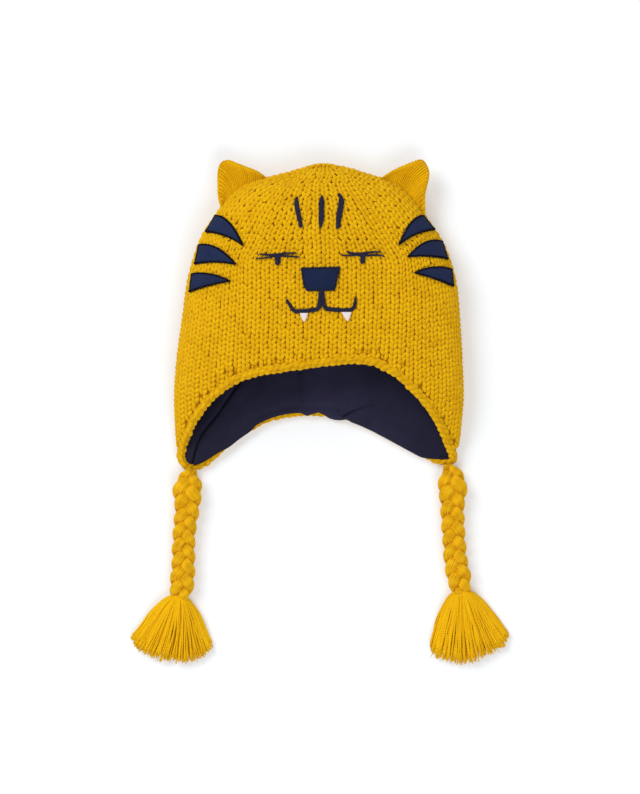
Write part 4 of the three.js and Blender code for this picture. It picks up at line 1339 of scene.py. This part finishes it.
def through(points):
    line = smooth_path(points, 41)[0]
    return lambda t: Vector((float(np.interp(t * 40, range(41), line[:, 0])), float(np.interp(t * 40, range(41), line[:, 1]))))


left_edge, right_edge = through([row[0] for row in NOSE]), through([row[1] for row in NOSE])
felt = patch("felt_nose", left_edge, right_edge, NOSE_FELT, 20, 24)
outline = [left_edge(i / 12) for i in range(13)] + [left_edge(1).lerp(right_edge(1), i / 12) for i in range(1, 12)]
outline += [right_edge(1 - i / 12) for i in range(13)] + [right_edge(0).lerp(left_edge(0), i / 12) for i in range(1, 12)]
dress([felt, sewn_edge("nose_edge", outline, NAVY_THREAD, 91)], "nose")

FANGS = {
    "left": ((-10.4, -5.2), (-13.6, 1.9), (-7.6, 1.9)),
    "right": ((20.8, -4.7), (16.2, 2.6), (23.3, 2.6)),
}
for tie, (tip, a, b) in FANGS.items():
    tip, a, b = Vector(tip), Vector(a), Vector(b)
    near = lambda t, a=a, tip=tip: (tip + (a - tip) * (0.1 + 0.9 * t)) + Vector((-0.35 * math.sin(math.pi * t), 0))
    far = lambda t, b=b, tip=tip: (tip + (b - tip) * (0.1 + 0.9 * t)) + Vector((0.35 * math.sin(math.pi * t), 0))
    dress([patch("felt_fang_" + tie, near, far, WHITE_FELT, 14, 10)], "fang_" + tie)

# %% [markdown]
# A worked line has a width at each of its points. Threads lie across it side by
# side, slanting a little, and each arches over the knit from edge to edge.

# %% Lines worked in thread
LINES = {
    "mouth": [
        [(1.3, 19, 2.6), (1, 12, 2.9), (0.7, 8.6, 3.2), (-0.3, 5.6, 3.2), (-3.4, 4, 3), (-15.2, 3, 2.9),
         (-18.3, 4.2, 2.7), (-20.1, 6.7, 2.4), (-23.1, 11.2, 1.9)],
        [(2.9, 19, 2.6), (3.1, 12, 2.9), (3.5, 8.6, 3.2), (4.7, 5.9, 3.2), (7.6, 4.6, 3), (20.4, 3.8, 2.9),
         (23.9, 4.8, 2.7), (25.6, 7.4, 2.3), (26.4, 12.2, 1.8)],
    ],
    "eye_left": [
        [(-42, 43.7, 0.8), (-37, 43.6, 1.1), (-31.5, 43.5, 1.5), (-25, 44.5, 1.3), (-16.2, 44.9, 0.8)],
        [(-44.8, 41, 0.7), (-37, 41.4, 1), (-33.5, 42.4, 1.4), (-28, 42.8, 1.5), (-22, 42.5, 1.3), (-14.2, 42, 0.7)],
        [(-29.3, 43.4, 4.6), (-29.2, 38, 4.2), (-29.1, 36.4, 2.2)],
    ],
    "eye_right": [
        [(19.9, 46, 0.8), (24, 44.7, 1.3), (29, 44.4, 1.5), (33, 44.8, 1.4), (38.8, 45.6, 1.2), (44.5, 45.7, 0.8)],
        [(16.2, 43.4, 0.7), (20.4, 42.9, 1), (25.7, 43.4, 1.4), (31.7, 43.1, 1.5), (38, 43.2, 1.2), (43, 43.3, 1), (47, 42.4, 0.6)],
        [(31.6, 44, 4), (31.5, 38.8, 3.6), (31.5, 37.2, 2)],
    ],
    "brow_mark_1": [[(-15.6, 85, 1.4), (-16, 80.6, 3.4), (-14, 70, 3.5), (-12.4, 63, 2.4)]],
    "brow_mark_2": [[(2, 85.6, 1.4), (2, 81.6, 4), (1.8, 68, 3.8), (1.2, 62.8, 1.2)]],
    "brow_mark_3": [[(14.4, 87.4, 1.4), (16.2, 82, 4.2), (14.4, 70, 4), (13.7, 62.4, 2.8)]],
}


def worked_line(name, lines, seed, step=0.42, fat=0.4):
    chance = np.random.default_rng(seed)
    paths = []
    for line in lines:
        spots = [(x, y) for x, y, _ in line]
        plan, length = smooth_path(spots, 61)
        ahead = np.gradient(plan, axis=0)
        ahead /= np.linalg.norm(ahead, axis=1, keepdims=True)
        corners = np.concatenate([[0], np.cumsum([math.dist(p, q) for p, q in zip(spots, spots[1:])])])
        wide = np.interp(np.linspace(0, corners[-1], 61), corners, [p[2] for p in line])
        for i in range(max(3, round(length / step))):
            at = min(max((i + 0.5) / round(length / step) + chance.normal(0, 0.004), 0), 1) * 60
            spot = np.array([np.interp(at, range(61), plan[:, k]) for k in (0, 1)])
            along = np.array([np.interp(at, range(61), ahead[:, k]) for k in (0, 1)])
            out = np.array([along[1], -along[0]])
            half = max(np.interp(at, range(61), wide) / 2 - 0.22, 0.15) * chance.uniform(0.9, 1.12)
            slant = along * (0.35 + chance.normal(0, 0.12))
            path = []
            for k in range(7):
                t = k / 3 - 1
                place = spot + out * half * t + slant * t
                path.append(on_front(float(place[0]), float(place[1]), 0.25 + 0.8 * (1 - t * t))[:])
            paths.append(path)
    paths = np.array(paths)
    radii = np.full(paths.shape[:2], fat)
    return joined(name + "_threads", SEW, along_paths(SEW, paths, radii) * MM, NAVY_THREAD, seed)


for seed, (node, lines) in enumerate(LINES.items()):
    dress([worked_line(node, lines, seed + 101)], node)
